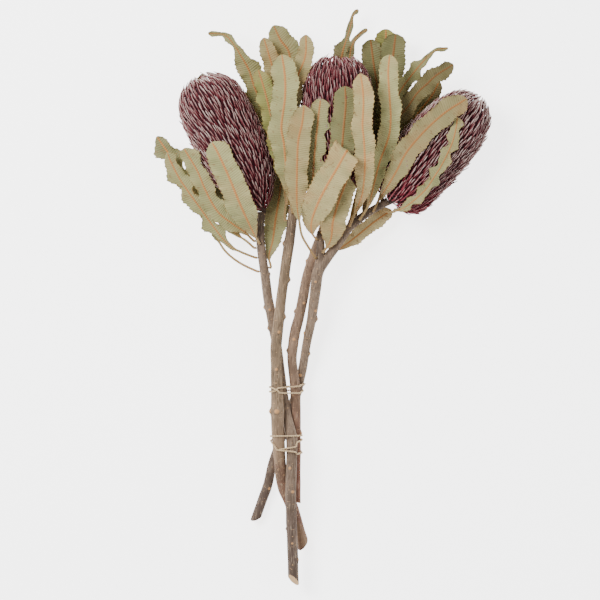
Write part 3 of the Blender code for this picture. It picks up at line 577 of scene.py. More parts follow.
def fine_head(name, stem_path, crimson, frosting, crown_open, splay, seed):
    head = HEADS[name]
    random = np.random.default_rng(seed)
    base, along, side = head_axis(head)
    axis, aside = np.array([*along, 0.0]), np.array([*side, 0.0])
    start = np.array([*base, head["height"]])
    curve = profile_curve(head)
    feet = strand_rings(curve, crown_open, random)
    count, steps = len(feet), len(STEPS)
    inner = feet[:, 2]
    length = STRAND_LENGTH * random.uniform(0.82, 1.15, count) * (1.0 - 0.5 * inner)
    lift = random.uniform(-1.0, 1.3, count) + 1.8 * (random.random(count) > 0.93)
    crown = np.clip((feet[:, 0] - curve[0][-1] + 42.0) / 30.0, 0.0, 1.0)
    lift = lift + crown * random.uniform(0.0, splay, count) * (1.0 - inner)
    arc_place = feet[:, :1] + length[:, None] * STEPS[None, :]
    rise = RISE[None, :] + lift[:, None] * STEPS[None, :] ** 2
    distance, radius = on_profile(curve, arc_place, rise)
    lean = SKEW + random.uniform(-0.10, 0.10, count) * (1.0 + 1.5 * crown)
    angle = feet[:, 1:2] + lean[:, None] * length[:, None] * STEPS[None, :] / np.maximum(radius, 9.0)
    outward = np.cos(angle)[..., None] * aside + np.sin(angle)[..., None] * UP
    centre = start + distance[..., None] * axis + radius[..., None] * outward
    way = np.gradient(centre, axis=1)
    way /= np.linalg.norm(way, axis=2)[..., None]
    across = np.cross(way, outward)
    across /= np.linalg.norm(across, axis=2)[..., None]
    off = np.cross(across, way)
    off *= np.sign(np.sum(off * outward, axis=2))[..., None]
    wide = 0.5 * STRAND_WIDTH * SWELL[None, :, None] * random.uniform(0.85, 1.12, count)[:, None, None]
    corners = np.stack([centre + off * wide * 0.8, centre + across * wide,
                        centre - off * wide * 0.8, centre - across * wide], axis=2)
    cloud = corners.reshape(-1, 3)
    faces = []
    for strand in range(count):
        first = strand * steps * 4
        faces += grid_faces(steps, 4, first=first)
        faces.append((first, first + 1, first + 2, first + 3))
        last = first + (steps - 1) * 4
        faces.append((last, last + 1, last + 2, last + 3))
    shape = (count, steps, 4)
    step = np.broadcast_to(STEPS[None, :, None], shape)
    pale = frosting * random.uniform(0.40, 0.95, count) * (1.0 - 0.8 * inner)
    pale = (pale * (1.0 + 0.35 * crown))[:, None, None]
    frost = np.clip((step - 0.28) / 0.45, 0.0, 1.0) * np.array([1.0, 0.35, 0.0, 0.35]) * pale
    foot_share = np.clip(1.0 - (distance - 4.0) / 62.0, 0.0, 1.0)[..., None]
    red = crimson * foot_share * np.ones(shape) * random.uniform(0.5, 1.0, count)[:, None, None]
    layers = {"reach": step.ravel(), "frost": (frost * (1.0 - 0.6 * red)).ravel(), "crimson": red.ravel(),
              "neck": np.zeros(count * steps * 4)}
    # The dark spindle under the strands, and the woody neck down to the stem
    turns = np.linspace(0.0, 2 * math.pi, 40, endpoint=False)
    ring_way = np.cos(turns)[:, None] * aside + np.sin(turns)[:, None] * UP
    core_s, core_r = on_profile(curve, np.linspace(3.0, curve[0][-1], 48), -3.8)
    core_s = np.minimum(core_s, core_s[-1] - 0.5 * crown_open * (core_s / core_s[-1]) ** 6)
    core = (start + core_s[:, None, None] * axis + np.maximum(core_r, 0.3)[:, None, None] * ring_way)
    carrier = smooth_curve(stem_path, 160)
    stem_end, stem_way = carrier[-1, :3], tangents(carrier)[-1]
    neck_rows = [(stem_end + stem_way * 0.3, 4.1), (stem_end + stem_way * 2.0, 4.5),
                 (start + axis * 5.0, 5.6), (start + axis * 14.0, 6.0)]
    neck_path = smooth_curve([[*point, size] for point, size in neck_rows], 14)
    _, neck_side, neck_up = frames(neck_path)
    neck = neck_path[:, None, :3] + neck_path[:, 3, None, None] * (
        np.cos(turns)[None, :, None] * neck_side[:, None, :] + np.sin(turns)[None, :, None] * neck_up[:, None, :])
    clouds = [cloud]
    for block, is_neck in ((core, 0.0), (neck, 1.0)):
        first = sum(len(c) for c in clouds)
        flat = block.reshape(-1, 3)
        faces += grid_faces(block.shape[0], 40, first=first)
        faces.append(tuple(range(first, first + 40)))
        faces.append(tuple(range(first + len(flat) - 40, first + len(flat))))
        clouds.append(flat)
        for key in ("reach", "frost", "crimson"):
            layers[key] = np.concatenate([layers[key], np.zeros(len(flat))])
        layers["neck"] = np.concatenate([layers["neck"], np.full(len(flat), is_neck)])
    cloud = np.vstack(clouds)
    cloud[:, 2] = np.maximum(cloud[:, 2], 0.0)
    made = piece(name, cloud, faces, FLORETS, layers)
    print(name, "strands:", count, "faces:", len(made.data.polygons))


fine_head("flower_head_left", STEM_LEFT, 0.45, 1.0, 10.0, 4.0, 1)
fine_head("flower_head_middle", STEM_MIDDLE, 0.35, 0.72, 15.0, 6.0, 2)
fine_head("flower_head_right", STEM_RIGHT, 1.0, 1.15, 9.0, 3.0, 3)

# %%
# Leaf material: blade, edge, midrib, side veins, blotches, and a per-leaf painted shade
def leaf_finish(name, colour, warm, dark):
    finish = Finish(name, colour, 0.62)
    blotch = finish.noise(34.0, 3.0)
    finish.mix(finish.ramp(blotch, 0.46, 0.70, 0.0, 0.8), warm)
    finish.mix(finish.ramp(finish.noise(52.0, 2.0), 0.50, 0.72, 0.0, 0.7), dark)
    finish.mix(finish.ramp(finish.noise(260.0, 1.0), 0.655, 0.70, 0.0, 0.6), (0.25, 0.145, 0.06))
    finish.mix(finish.ramp(finish.value("foot"), 0.0, 1.0, 0.0, 0.7), (0.33, 0.19, 0.09))
    along, across = finish.value("along"), finish.value("across")
    slanted = finish.math("SUBTRACT", along, finish.math("MULTIPLY", across, 0.25))
    ribs = finish.math("SINE", finish.math("MULTIPLY", slanted, 2 * math.pi / VEIN_PITCH), 0.0)
    finish.mix(finish.ramp(ribs, 0.5, 1.0, 0.0, 0.22), [min(1.0, 1.25 * c) for c in colour])
    finish.mix(finish.ramp(ribs, -0.4, -1.0, 0.0, 0.18), [0.6 * c for c in colour])
    finish.mix(finish.ramp(finish.value("edge"), 0.35, 0.9, 0.0, 0.85), (0.36, 0.175, 0.05))
    finish.mix(finish.ramp(finish.value("midrib"), 0.35, 0.8, 0.0, 0.9), (0.50, 0.205, 0.058))
    # Each leaf's shade value multiplies its colour darker: painted shade on leaves that lie low, at the back or under
    # others, and partly their own darker tone
    finish.mix(finish.value("shade"), (0.33, 0.325, 0.285), "MULTIPLY")
    finish.bump(ribs, 0.00025, 0.55)
    finish.bump(finish.noise(700.0, 2.0), 0.0003, 0.5)
    return finish.done()


VEIN_PITCH = 2.2
LEAF_SAGE = ("sage_leaf", leaf_finish("sage_leaf_fine", (0.345, 0.325, 0.142), (0.40, 0.315, 0.14), (0.24, 0.245, 0.10)))
LEAF_TAN = ("tan_leaf", leaf_finish("tan_leaf_fine", (0.385, 0.32, 0.142), (0.42, 0.265, 0.11), (0.29, 0.25, 0.11)))
# A paler copy of the tan finish: painted light on the leaf under the branch, which lies in the shade of the right head
# and its leaves
LEAF_TAN_PAINTED_LIGHT = ("tan_leaf", leaf_finish("tan_leaf_painted_light_fine", (0.54, 0.43, 0.21), (0.57, 0.38, 0.17), (0.44, 0.37, 0.17)))
# A darker copy of the sage finish for the leaves at the back and underneath: painted shade, and partly their own olive
# tone
LEAF_OLIVE_AND_SHADE = ("olive_leaf", leaf_finish("olive_and_shaded_leaf_fine", (0.25, 0.235, 0.105), (0.29, 0.23, 0.11), (0.15, 0.15, 0.06)))
LEAF_YELLOW = ("yellow_green_leaf",
               leaf_finish("yellow_green_leaf_fine", (0.30, 0.29, 0.085), (0.36, 0.29, 0.10), (0.20, 0.21, 0.06)))

# %% [markdown]
# ## Leaves
# Every leaf is a thin closed blade along a smooth curve from its seat on the stem to its tip. Its width
# follows one formula, its margin carries small forward teeth, and its sides ripple. Leaves that lie on
# a head or pass under one are lifted or lowered by the head's own section, so they drape over it.

# %%
# The leaves' seats, sizes and curves
# Leaves: seat (stem, row, degrees), blade width, finish, teeth, and points from base to tip; shade is how much darker
# a leaf is painted, for painted shade where it lies low or under others, and partly its own darker tone
LEAVES = {
    "leaf_left_front": dict(
        shade=0.1, waves=(0.9, 3.0), tip=0.55, shape=[(0, 1.45), (0.3, 1.2), (0.6, 1.0), (1, 1)],
        seat=(STEM_LEFT, 243, 100), width=28, finish=LEAF_SAGE, teeth=8, over=True,
        points=[(252, 230, 46), (241, 206, 62), (229.5, 178, 70), (219.5, 156, 72), (213, 144, 71)]),
    "leaf_left_second": dict(
        shade=0.25, waves=(2.2, 4.0), tip=0.5, shape=[(0, 1.5), (0.3, 1.15), (0.8, 0.9), (1, 1.05)],
        seat=(STEM_LEFT, 241, 165), width=21, finish=LEAF_SAGE, teeth=8, over=True,
        points=[(245, 232.5, 40), (232, 223.5, 45), (218, 212, 49), (206, 191, 52), (198, 172, 52),
                (188, 155, 51), (184.5, 149, 50)]),
    "leaf_left_third": dict(
        shade=0.3, waves=(5.0, 4.5), tip=0.5, shape=[(0, 0.82), (1, 0.9)],
        seat=(STEM_LEFT, 257, 175), width=20, finish=LEAF_SAGE, teeth=8, petiole=0.14, lobes=2.4,
        points=[(240, 251.5, 34), (229, 245, 37), (217.5, 232, 40), (199, 206.5, 41), (181, 181, 40),
                (171, 162, 38), (167.5, 153, 37)]),
    "leaf_left_fourth": dict(
        shade=0.1, waves=(5.0, 5.0), tip=0.5, shape=[(0, 0.8), (1, 0.95)],
        seat=(STEM_LEFT, 271, 180), width=20, finish=LEAF_OLIVE_AND_SHADE, teeth=8, petiole=0.28, lobes=2.4,
        points=[(240, 263, 26), (226.5, 252.5, 25), (218, 240, 24), (205, 214, 24), (191, 189, 24),
                (177, 166, 25), (164, 147, 26), (156.5, 136, 27)]),
    "leaf_left_dry": dict(
        shade=0.3,
        seat=(STEM_LEFT, 248, 190), width=8, finish=LEAF_TAN, teeth=3, petiole=0.35,
        points=[(247, 241.5, 33), (237, 234.5, 34), (227, 226, 36), (219, 219, 37)]),
    "leaf_left_right": dict(
        shade=0.4, shape=[(0, 0.9), (0.2, 1.05), (0.5, 1.2), (1, 1.1)],
        seat=(STEM_LEFT, 267, 20), width=21, finish=LEAF_SAGE, teeth=7,
        points=[(268.8, 256, 28), (272.5, 241, 26.5), (275.5, 219, 23.5), (279.5, 194, 19.5),
                (282, 172, 17)]),
    # The wide dark base of this leaf is a sheet of painted shade that fills the shade between the front leaves; the
    # rest is a leaf lying under the left head
    "leaf_left_under": dict(
        shade=1.0, shape=[(0, 1), (0.10, 5), (0.16, 4.4), (0.25, 3.2), (0.4, 2.6), (0.6, 1.1), (1, 1)],
        seat=(STEM_LEFT, 233, 215), width=11, finish=LEAF_OLIVE_AND_SHADE, teeth=8, under=True,
        points=[(249, 214, 18), (234, 197, 10), (221.5, 183, 7), (205.5, 147, 6), (197.5, 111, 4),
                (198.5, 85.5, 8), (202.5, 72.5, 12)]),
    "leaf_top_dark": dict(
        shade=0.5,
        seat=(STEM_BACK, 214, 240), width=13, finish=LEAF_OLIVE_AND_SHADE, teeth=6,
        points=[(286, 198, 12), (276, 165, 8), (263, 128, 10), (251, 104, 11), (244, 91, 13)]),
    "leaf_top_curled": dict(
        shade=0.45, waves=(2.0, 6.0),
        tip=1.0,
        shape=[(0, 1), (0.6, 1), (0.68, 1.35), (0.75, 1.4), (0.80, 0.9), (0.86, 0.38), (0.90, 0.6), (0.94, 0.3),
               (0.98, 0.45), (1, 0.45)],
        seat=(STEM_BACK, 219, 190), width=17, finish=LEAF_SAGE, teeth=9, curl=(0.72, 40),
        points=[(285, 195, 24), (277, 155, 20), (265, 113, 20), (254, 86, 22), (249, 70, 25), (240, 54, 30),
                (232, 42, 33), (224, 34.5, 33), (208, 33, 31)]),
    "leaf_top_back": dict(
        shade=0.57,
        seat=(STEM_BACK, 209, 250), width=27, finish=LEAF_SAGE, teeth=9, lobes=1.5,
        points=[(291, 185, 22), (287, 150, 25), (286, 115, 29), (290, 78, 33), (289, 53, 35), (280.5, 40, 36),
                (273.5, 25.5, 36)]),
    "leaf_top_second": dict(
        shade=0.4,
        seat=(STEM_BACK, 205, 165), width=19, finish=LEAF_TAN, teeth=8,
        points=[(287, 190, 33), (283, 150, 36), (279, 110, 39), (274, 75, 43), (268.5, 54, 45),
                (263.8, 38.5, 45)]),
    "leaf_top_right": dict(
        shade=0.25,
        seat=(STEM_BACK, 211, 20), width=19, finish=LEAF_TAN, teeth=9,
        points=[(294.5, 190, 40), (291, 160, 43), (291, 130, 46), (292, 105, 49), (296, 82, 51),
                (305, 58, 51), (306, 36, 50)]),
    "leaf_top_yellow": dict(
        shade=0.4, waves=(1.6, 6.0), tip=0.5,
        seat=(STEM_BACK, 204, 130), width=20, finish=LEAF_YELLOW, teeth=10, over=True,
        points=[(288, 194, 43), (281, 165, 51), (274, 130, 54), (267, 100, 55), (262, 82, 55),
                (258.5, 71, 54)]),
    "leaf_top_large": dict(
        shade=0.1, waves=(1.2, 5.0), tip=0.55,
        seat=(STEM_BACK, 213, 95), width=28, finish=LEAF_SAGE, teeth=10,
        points=[(290.5, 200, 44), (286.5, 172, 57), (284, 145, 61), (281.5, 128, 62), (285, 100, 62),
                (285, 78, 62), (282, 56.5, 61)]),
    "leaf_centre_left": dict(
        shade=0.3, waves=(1.3, 4.0), tip=0.4,
        seat=(STEM_RIGHT_TWIG, 258, 130), width=25, finish=LEAF_TAN, teeth=8, petiole=0.28, over=True,
        points=[(309.5, 249, 46), (302, 236, 52), (299.3, 222, 59), (297, 206, 67), (296.8, 181, 75),
                (298, 145, 80), (302, 126, 81), (304, 108, 80)]),
    "leaf_centre_torn": dict(
        shade=0.5, waves=(2.6, 6.0), tip=0.6,
        seat=(STEM_MIDDLE, 216, 150), width=22, finish=LEAF_SAGE, teeth=7, over=True,
        points=[(317, 200, 46), (313, 184, 58), (314, 160, 64), (316.5, 135, 68), (319, 112, 69),
                (320.5, 101, 68)]),
    "leaf_middle_half": dict(
        shade=0.75, waves=(0.9, 4.0), tip=0.6,
        seat=(STEM_MIDDLE, 215, 80), width=27, finish=LEAF_SAGE, teeth=8, over=True,
        points=[(331.5, 205, 55), (336, 190, 66), (340.5, 160, 75), (343, 130, 77), (345, 108, 77),
                (344.5, 89, 76)]),
    "leaf_middle_front": dict(
        shade=0.0, waves=(1.0, 4.0), tip=0.35,
        seat=(STEM_RIGHT, 226, 100), width=22, finish=LEAF_TAN, teeth=10, over=True,
        points=[(356.5, 209, 50), (361.5, 196, 62), (363.5, 180, 73), (364, 165, 81), (363, 143, 85),
                (361.5, 128, 86), (362.5, 105, 86), (361, 86, 84), (359, 77, 82)]),
    "leaf_middle_grey": dict(
        shade=0.0, waves=(1.3, 4.5), tip=0.55,
        seat=(STEM_RIGHT, 219, 85), width=22, finish=LEAF_SAGE, teeth=10, over=True,
        points=[(367.5, 207, 47), (371, 196, 53), (374.5, 181, 58), (379.5, 162, 57.5), (388, 138, 58),
                (390, 120, 61), (389, 100, 61), (387.5, 75, 60), (389, 56.5, 58)]),
    "leaf_right_large": dict(
        shade=0.5, waves=(1.2, 5.0), tip=0.5,
        seat=(STEM_RIGHT, 210, 75), width=25, finish=LEAF_TAN, teeth=11, over=True,
        points=[(379, 199.5, 43), (388.5, 184.5, 51), (396, 171.5, 60), (406, 153, 67), (423, 133, 70),
                (442, 115.7, 72), (459, 104.5, 71), (465, 101, 70)]),
    "leaf_right_narrow": dict(
        shade=0.25, waves=(3.4, 7.0), tip=0.6, shape=[(0, 0.9), (1, 0.9)],
        seat=(STEM_RIGHT, 205, 330), width=14, finish=LEAF_SAGE, teeth=9, over=True, lobes=2.0,
        points=[(391, 212, 40), (402, 209, 55), (412, 202, 64), (424, 191, 66), (432, 179.5, 67),
                (441, 165, 67), (450, 146, 66), (454, 132, 65), (456, 119, 63)]),
    "leaf_front_folded": dict(
        shade=0.0, waves=(0.9, 3.0), shape=[(0, 1.3), (0.3, 1.12), (0.6, 1.0), (1, 1)],
        seat=(STEM_RIGHT_TWIG, 239, 125), width=31, finish=LEAF_TAN, teeth=9, over=True, blunt=True,
        points=[(312, 233, 46), (311.5, 222, 55), (317, 206, 70), (325.5, 189, 83.5), (335.5, 172, 90),
                (343.6, 157.5, 91), (345.8, 153.6, 89), (346, 154.4, 86)]),
    "leaf_front_small": dict(
        shade=0.2, shape=[(0, 1), (0.15, 1.6), (0.5, 1.35), (1, 1.2)],
        seat=(STEM_RIGHT_TWIG, 252, 70), width=21, finish=LEAF_TAN, teeth=6, over=True,
        points=[(330.6, 240, 44), (332.8, 222, 57), (337.5, 205, 64), (343, 190, 71), (347, 179, 75)]),
    # Painted light: this leaf has the paler copy of the tan finish, which lifts it out of the heads' shade
    "leaf_under_branch": dict(
        shade=0.0, shape=[(0, 1), (0.2, 1.3), (1, 1.3)],
        seat=(STEM_RIGHT, 251, 280), width=13, finish=LEAF_TAN_PAINTED_LIGHT, teeth=6,
        points=[(345, 245, 24), (358, 235, 21), (374, 222, 18), (392, 209.5, 17)]),
    "leaf_back_twisted_tip": dict(
        shade=0.5, waves=(1.2, 8.0), tip=1.0,
        shape=[(0, 1), (0.70, 1), (0.75, 1.3), (0.81, 1.35), (0.86, 0.48), (0.92, 0.52), (0.962, 0.26), (0.985, 0.42),
               (1, 0.4)],
        seat=(STEM_MIDDLE, 218, 280), width=14, finish=LEAF_OLIVE_AND_SHADE, teeth=8, under=True, curl=(0.74, 30),
        points=[(332, 200, 12), (335, 180, 4), (337, 140, 3.4), (341, 95, 3.4), (341.5, 62, 8),
                (343, 50, 13), (347, 37, 17), (351, 24, 20), (353, 14, 21), (358.5, 8.5, 21)]),
    "leaf_back_thin_tip": dict(
        shade=0.5, waves=(0.8, 8.0), tip=1.0, shape=[(0, 1), (0.85, 1), (0.92, 0.6), (1, 0.55)],
        seat=(STEM_MIDDLE, 213, 330), width=9, finish=LEAF_OLIVE_AND_SHADE, teeth=6, under=True,
        points=[(341, 195, 14), (350, 170, 8), (356, 135, 6), (355, 100, 6.5), (350, 62, 18), (352.5, 44, 28),
                (358.5, 35, 30), (367.5, 28.8, 30)]),
    "leaf_back_yellow_tip": dict(
        shade=0.3, waves=(0.8, 5.0), tip=0.6, shape=[(0, 1), (0.8, 1.1), (0.92, 1.3), (1, 1.3)],
        seat=(STEM_RIGHT, 232, 265), width=20, finish=LEAF_YELLOW, teeth=9,
        points=[(353, 212, 14), (368, 175, 8), (380, 130, 7), (386, 90, 7), (386.5, 55, 8), (386.5, 27, 10.5)]),
    "leaf_back_grey": dict(
        shade=0.85, waves=(0.8, 5.0), tip=0.72, shape=[(0, 1), (0.75, 1), (0.9, 1.12), (1, 1.1)],
        seat=(STEM_RIGHT, 223, 270), width=22, finish=LEAF_SAGE, teeth=8,
        points=[(360, 200, 17), (369, 165, 12), (377, 125, 13), (378, 90, 14), (374, 62, 15), (371, 38, 16)]),
    "leaf_back_broad": dict(
        shade=0.9, waves=(0.9, 5.0), tip=0.72, shape=[(0, 1), (0.75, 1), (0.9, 1.12), (1, 1.1)],
        seat=(STEM_RIGHT, 217, 290), width=25, finish=LEAF_SAGE, teeth=8,
        points=[(366, 194, 20), (374.5, 158, 17.5), (386, 115, 20), (391, 80, 24), (393.5, 54, 25),
                (396, 33, 25)]),
    "leaf_back_curled": dict(
        shade=0.6, waves=(2.6, 9.0), tip=1.0,
        shape=[(0, 1), (0.78, 1.15), (0.84, 0.8), (0.88, 0.42), (0.92, 0.32), (0.96, 0.42), (1, 0.3)],
        seat=(STEM_RIGHT, 214, 200), width=14, finish=LEAF_SAGE, teeth=8, curl=(0.78, 30),
        points=[(366, 196, 29), (372, 165, 30), (382, 135, 31), (392, 108, 33), (401, 90, 34),
                (411, 76, 35), (420, 65, 36), (427, 57.5, 37), (436, 50.5, 38), (448, 48.5, 38)]),
    "leaf_back_tan": dict(
        shade=1.0, waves=(1.6, 6.0), tip=0.45,
        seat=(STEM_RIGHT, 212, 160), width=19, finish=LEAF_TAN, teeth=9,
        points=[(368, 194, 39), (372, 165, 41), (382, 140, 42), (397, 120, 43), (408.5, 106, 43),
                (416.5, 94, 43), (427, 84, 43), (437, 75, 43), (453, 65, 42)]),
    "leaf_back_dark": dict(
        shade=0.3,
        seat=(STEM_RIGHT, 208, 300), width=17, finish=LEAF_OLIVE_AND_SHADE, teeth=8, under=True,
        points=[(386, 188, 20), (394, 160, 12), (404, 136, 12), (418, 113, 16), (431, 97, 20),
                (440, 80.5, 22)]),
}

# %%
# Draping over and under the heads
HEAD_CLEARANCE = 2.2         # how far a leaf stays off the florets it lies over
SEAT_GAP = 0.3


def drape(points, over, under):
    """Lifts or lowers points smoothly, so that they stay over or under every head."""
    points = points.copy()
    for head in HEADS.values():
        base, along, side = head_axis(head)
        offset = points[:, :2] - base
        stations, radii = zip(*head["profile"])
        radius = np.interp(offset @ along, stations, radii, left=0.0, right=0.0)
        radius = np.where(radius > 0.0, radius + HEAD_CLEARANCE, 0.0)
        aside = np.abs(offset @ side)
        rise = np.sqrt(np.maximum(radius ** 2 - aside ** 2, 0.0))
        z = points[:, 2]
        if over:
            top = head["height"] + rise
            moved = 0.5 * (z + top + np.sqrt((z - top) ** 2 + 4.0))
        else:
            top = head["height"] - rise
            moved = np.maximum(0.5 * (z + top - np.sqrt((z - top) ** 2 + 4.0)), 1.0)
        points[:, 2] = np.where(aside < radius, moved, z)
    return points


# %%
# Fine blades
PETIOLE_WIDTH = 2.4
BLADE_THICKNESS = 0.7
MIDRIB_HALF = 0.40           # half the width of the raised midrib, mm
TOOTH_PITCH = 4.4
TOOTH_DEPTH = 2.1
COLUMNS = np.array([0.12, 0.3, 0.5, 0.7, 0.85, 0.955, 1.0])


def blade_share(t, leaf):
    """Share of the full blade width along the leaf, from 0 at its base to 1 at its tip."""
    petiole = leaf.get("petiole", 0.08)
    if t <= petiole:
        return 0.0
    u = (t - petiole) / (1.0 - petiole)
    share = math.sin(0.5 * math.pi * min(1.0, u / 0.47)) ** 0.85
    if "shape" in leaf:
        share *= float(np.interp(t, *zip(*leaf["shape"])))
    if leaf.get("blunt"):
        return share
    end = leaf.get("tip", 0.45) ** 2
    return share * math.sqrt(max(0.0, 1.0 - max(0.0, (u - 0.84) / 0.16) ** 2.4) * (1.0 - end) + end)


def tip_round(distance, radius):
    """Share of the width left where a tip is rounded off, from the distance to the very end."""
    w = min(1.0, max(0.0, 1.0 - distance / radius))
    return max(0.22, math.sqrt(max(0.0, 1.0 - w ** 2.2)))


def blade_sides(direction, start):
    """Sideways directions: level along the blade, and carried on from there down the petiole."""
    level = np.cross(direction, -UP)
    sides = [None] * len(direction)
    for way in (range(start, -1, -1), range(start, len(direction))):
        side = unit(level[start])
        for i in way:
            if i > start and np.linalg.norm(level[i]) > 0.4 and level[i] @ side > 0:
                side = unit(level[i])
            side = unit(side - direction[i] * (side @ direction[i]))
            sides[i] = side
    return sides


def fine_leaf(name, leaf):
    number = list(LEAVES).index(name)
    seat, outward = on_stem(*leaf["seat"], gap=SEAT_GAP + 0.2)
    knots = [seat, seat + outward * 2.5, *leaf["points"]]
    length = float(np.sum(np.linalg.norm(np.diff(np.array(knots), axis=0), axis=1)))
    stations = int(length / (TOOTH_PITCH / 4.0))
    path = smooth_curve(knots, stations)
    direction = tangents(path)
    sides = blade_sides(direction, round(0.3 * stations))
    lobes = leaf.get("lobes", 0.0)
    swing, bends = leaf.get("waves", (0.8, length / 26.0))
    curl_from, curl_turn = leaf.get("curl", (1.0, 0.0))
    waves = length / 19.0
    middle, wide_side, normals, half_widths, shares = [], [], [], [], []
    for i in range(stations):
        t = i / (stations - 1)
        side = sides[i]
        up = np.cross(side, direction[i])
        up = up if up[2] > 0 else -up
        twist = math.radians(curl_turn) * max(0.0, (t - curl_from) / max(1e-6, 1.0 - curl_from))
        wide_side.append(math.cos(twist) * side + math.sin(twist) * up)
        normals.append(math.cos(twist) * up - math.sin(twist) * side)
        share = blade_share(t, leaf)
        if not leaf.get("blunt"):
            share *= tip_round((1.0 - t) * length, 0.32 * leaf["width"])
        shares.append(share)
        half_widths.append(0.5 * max(PETIOLE_WIDTH, leaf["width"] * share))
    wide_side, normals = np.array(wide_side), np.array(normals)
    half, share = np.array(half_widths)[:, None], np.array(shares)[:, None]
    t = np.linspace(0.0, 1.0, stations)[:, None]
    along = t * length
    rib = np.minimum(MIDRIB_HALF / half, 0.09)
    outer = rib + (1.0 - rib) * COLUMNS[None, :]
    v = np.concatenate([-outer[:, ::-1], -rib, np.zeros_like(rib), rib, outer], axis=1)
    size = np.abs(v)
    tooth = TOOTH_DEPTH * (1.0 - (along / TOOTH_PITCH + 0.37 * number) % 1.0) * np.clip(3.0 * share, 0.0, 1.0)
    across = half * v - np.sign(v) * tooth * (size > 0.999) - 0.5 * np.sign(v) * tooth * ((size > 0.94) & (size < 0.999))
    turn = 2 * math.pi * bends * t + 1.3 * number + 2.3 * (v > 0)
    across = across + np.sign(v) * share * size ** 2 * swing * (0.7 * np.sin(turn) + 0.4 * np.sin(1.7 * turn + number))
    keel = 0.12 * half * (size - 0.5)
    ripple = share * size ** 2 * (lobes * np.sin(2 * math.pi * 3.0 * t + 1.2 * v)
                                  + 1.5 * np.sin(2 * math.pi * waves * t + 1.7 * np.sign(v) + number)
                                  + 0.5 * np.sin(2 * math.pi * 2.3 * waves * t + 2.6 * v + 2.0 * number))
    points = path[:, None, :] + wide_side[:, None, :] * across[..., None] + normals[:, None, :] * (keel + ripple)[..., None]
    flat = points.reshape(-1, 3)
    if leaf.get("over") or leaf.get("under"):
        flat = drape(flat, leaf.get("over"), leaf.get("under"))
    half_thick = 0.5 * BLADE_THICKNESS * (1.0 - 0.55 * size ** 4)
    raised = 0.45 * (size < 0.5 * rib) * np.clip(half / 3.0, 0.2, 1.0)
    lift = np.broadcast_to(normals[:, None, :], points.shape).reshape(-1, 3)
    front = flat + lift * (half_thick + raised).reshape(-1, 1)
    back = flat - lift * (half_thick + raised).reshape(-1, 1)
    columns, count = v.shape[1], len(flat)
    sheet = np.array(grid_faces(stations, columns, closed=False))
    faces = sheet.tolist() + (sheet[:, ::-1] + count).tolist()
    rows = np.arange(stations - 1) * columns
    for edge in (0, columns - 1):
        a = rows + edge
        faces += np.stack([a, a + columns, a + columns + count, a + count], 1).tolist()
    ends = np.arange(columns - 1)
    for first in (0, (stations - 1) * columns):
        a = first + ends
        faces += np.stack([a, a + 1, a + 1 + count, a + count], 1).tolist()
    # The shade layer carries the leaf's painted shade, with part of its own darker tone
    layers = {"edge": np.clip((size - 0.90) / 0.1, 0.0, 1.0) * np.clip(4.0 * share, 0.0, 1.0),
              "midrib": np.broadcast_to((size <= rib + 1e-6) * 1.0, size.shape),
              "along": np.broadcast_to(along, size.shape), "across": np.abs(across),
              "foot": np.broadcast_to(np.clip(1.0 - 3.0 * t, 0.0, 1.0), size.shape),
              "shade": np.full(size.shape, leaf.get("shade", 0.1))}
    layers = {key: np.tile(np.asarray(value, float).ravel(), 2) for key, value in layers.items()}
    slot, finish = leaf["finish"]
    made = piece(name, np.vstack([front, back]), faces, finish, layers)
    return len(made.data.polygons)


print("leaf faces:", sum(fine_leaf(name, leaf) for name, leaf in LEAVES.items()))

# %% [markdown]
# ## Twine
# Each tie is one strand of natural twine wound round all four stems. Two thin yarns run side by side
# along its path and turn round each other, which gives the twisted look of real twine.

# %%
# Twine pulled round the stems
TWINE_DIAMETER = 1.5
YARN_RADIUS = 0.52
TWIST_PITCH = 4.2            # length of one full twist, mm
YARN_SIDES = 7
OVER = TWINE_DIAMETER + 0.6   # how far a strand stands off where it crosses another


def hull_point(row, degrees, clearance):
    """Where twine pulled round the stems lies at a row of the plan, seen along the bunch."""
    sections = [stem_section(path, row)[:2] for path in (STEM_LEFT, STEM_BACK, STEM_MIDDLE, STEM_RIGHT)]
    turn = math.radians(degrees)
    outward = np.array([math.cos(turn), 0.0, math.sin(turn)])
    centre, radius = max(sections, key=lambda s: s[0] @ outward + s[1])
    return np.array([centre[0], row, centre[2]]) + outward * (radius + clearance)


def winding(marks, step=18.0):
    """Evenly spread steps between the marks (degrees, plan row, stand-off) of a wound twine."""
    marks = np.array(marks, float)
    wound = np.concatenate([[0.0], np.cumsum(np.abs(np.diff(marks[:, 0])))])
    places = np.linspace(0.0, wound[-1], int(wound[-1] / step) + 1)
    return [[np.interp(place_now, wound, marks[:, k]) for k in range(3)] for place_now in places]


twine = Finish("natural_twine_fine", (0.56, 0.41, 0.24), 0.9)
twine.mix(twine.ramp(twine.noise(900.0, 2.0), 0.5, 0.7, 0.0, 0.5), (0.70, 0.56, 0.38))
twine.mix(twine.ramp(twine.noise(500.0, 2.0), 0.45, 0.3, 0.0, 0.5), (0.30, 0.20, 0.11))
twine.bump(twine.noise(3000.0, 2.0), 0.0003, 0.8)
TWINE = twine.done()


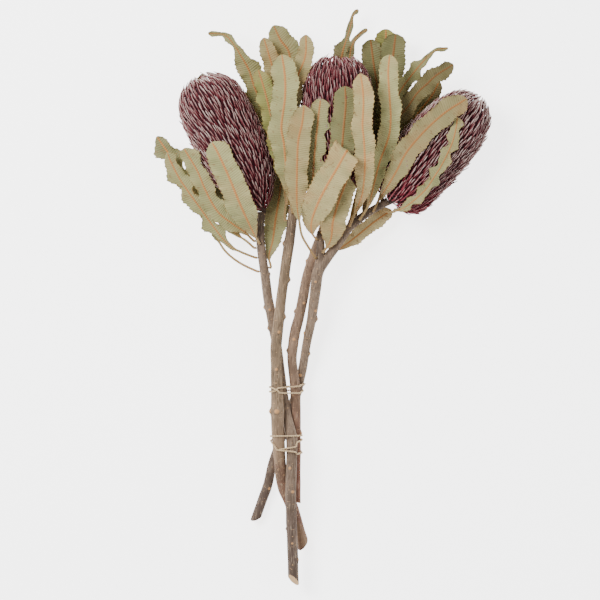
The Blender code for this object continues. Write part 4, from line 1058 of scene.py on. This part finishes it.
def fine_tie(name, turns):
    resting = 0.5 * TWINE_DIAMETER + SEAT_GAP
    knots = [hull_point(row, degrees, resting + stand) for degrees, row, stand in turns]
    length = float(np.sum(np.linalg.norm(np.diff(np.array(knots), axis=0), axis=1)))
    path = smooth_curve(knots, int(length / 0.55))
    _, side, up = frames(path)
    twist = np.linspace(0.0, 2 * math.pi * length / TWIST_PITCH, len(path))
    turns_round = np.linspace(0.0, 2 * math.pi, YARN_SIDES, endpoint=False)
    clouds, faces = [], []
    for yarn in (0, 1):
        angle = twist + yarn * math.pi
        middle = path + 0.42 * (np.cos(angle)[:, None] * side + np.sin(angle)[:, None] * up)
        ring = (np.cos(turns_round)[None, :, None] * side[:, None, :]
                + np.sin(turns_round)[None, :, None] * up[:, None, :])
        first = yarn * len(path) * YARN_SIDES
        clouds.append((middle[:, None, :] + YARN_RADIUS * ring).reshape(-1, 3))
        faces += grid_faces(len(path), YARN_SIDES, first=first)
        for end in (0, len(path) - 1):
            faces.append(tuple(first + end * YARN_SIDES + k for k in range(YARN_SIDES)))
    made = piece(name, np.vstack(clouds), faces, TWINE)
    print(name, "length mm:", round(length), "faces:", len(made.data.polygons))


# Angles grow from the right side (0) over the top (90) to the left side (180) and the underside (270)
fine_tie("tie_upper", winding([
    (-40, 386.5, 0), (0, 384, 0), (60, 387, 0), (95, 390.6, 0), (120, 391.5, 0), (180, 391.8, 0),
    (250, 391.0, 0), (320, 390.5, 0), (360, 391.5, 0), (400, 393.4, 0), (420, 393.0, OVER * 0.7),
    (434, 392.2, OVER), (462, 388.8, OVER), (490, 387.6, OVER * 0.4), (540, 387.0, 0), (640, 387.0, 0)]))
fine_tie("tie_lower", winding([
    (84, 449.4, 0), (60, 446.5, 0), (30, 442.4, 0), (0, 440, 0), (-60, 440.2, 0), (-110, 440, 0),
    (-140, 438.8, 0), (-170, 436.4, 0), (-180, 436.0, 0), (-270, 436.0, 0), (-360, 436.2, 0),
    (-420, 436.4, 0), (-466, 436.6, 0), (-486, 437.0, OVER), (-515, 439.6, OVER), (-540, 441.0, 0),
    (-590, 445, 0), (-615, 448.6, OVER), (-640, 451.4, OVER), (-680, 454.3, 0), (-720, 453.8, 0),
    (-780, 451.5, 0), (-810, 450.5, 0)]))
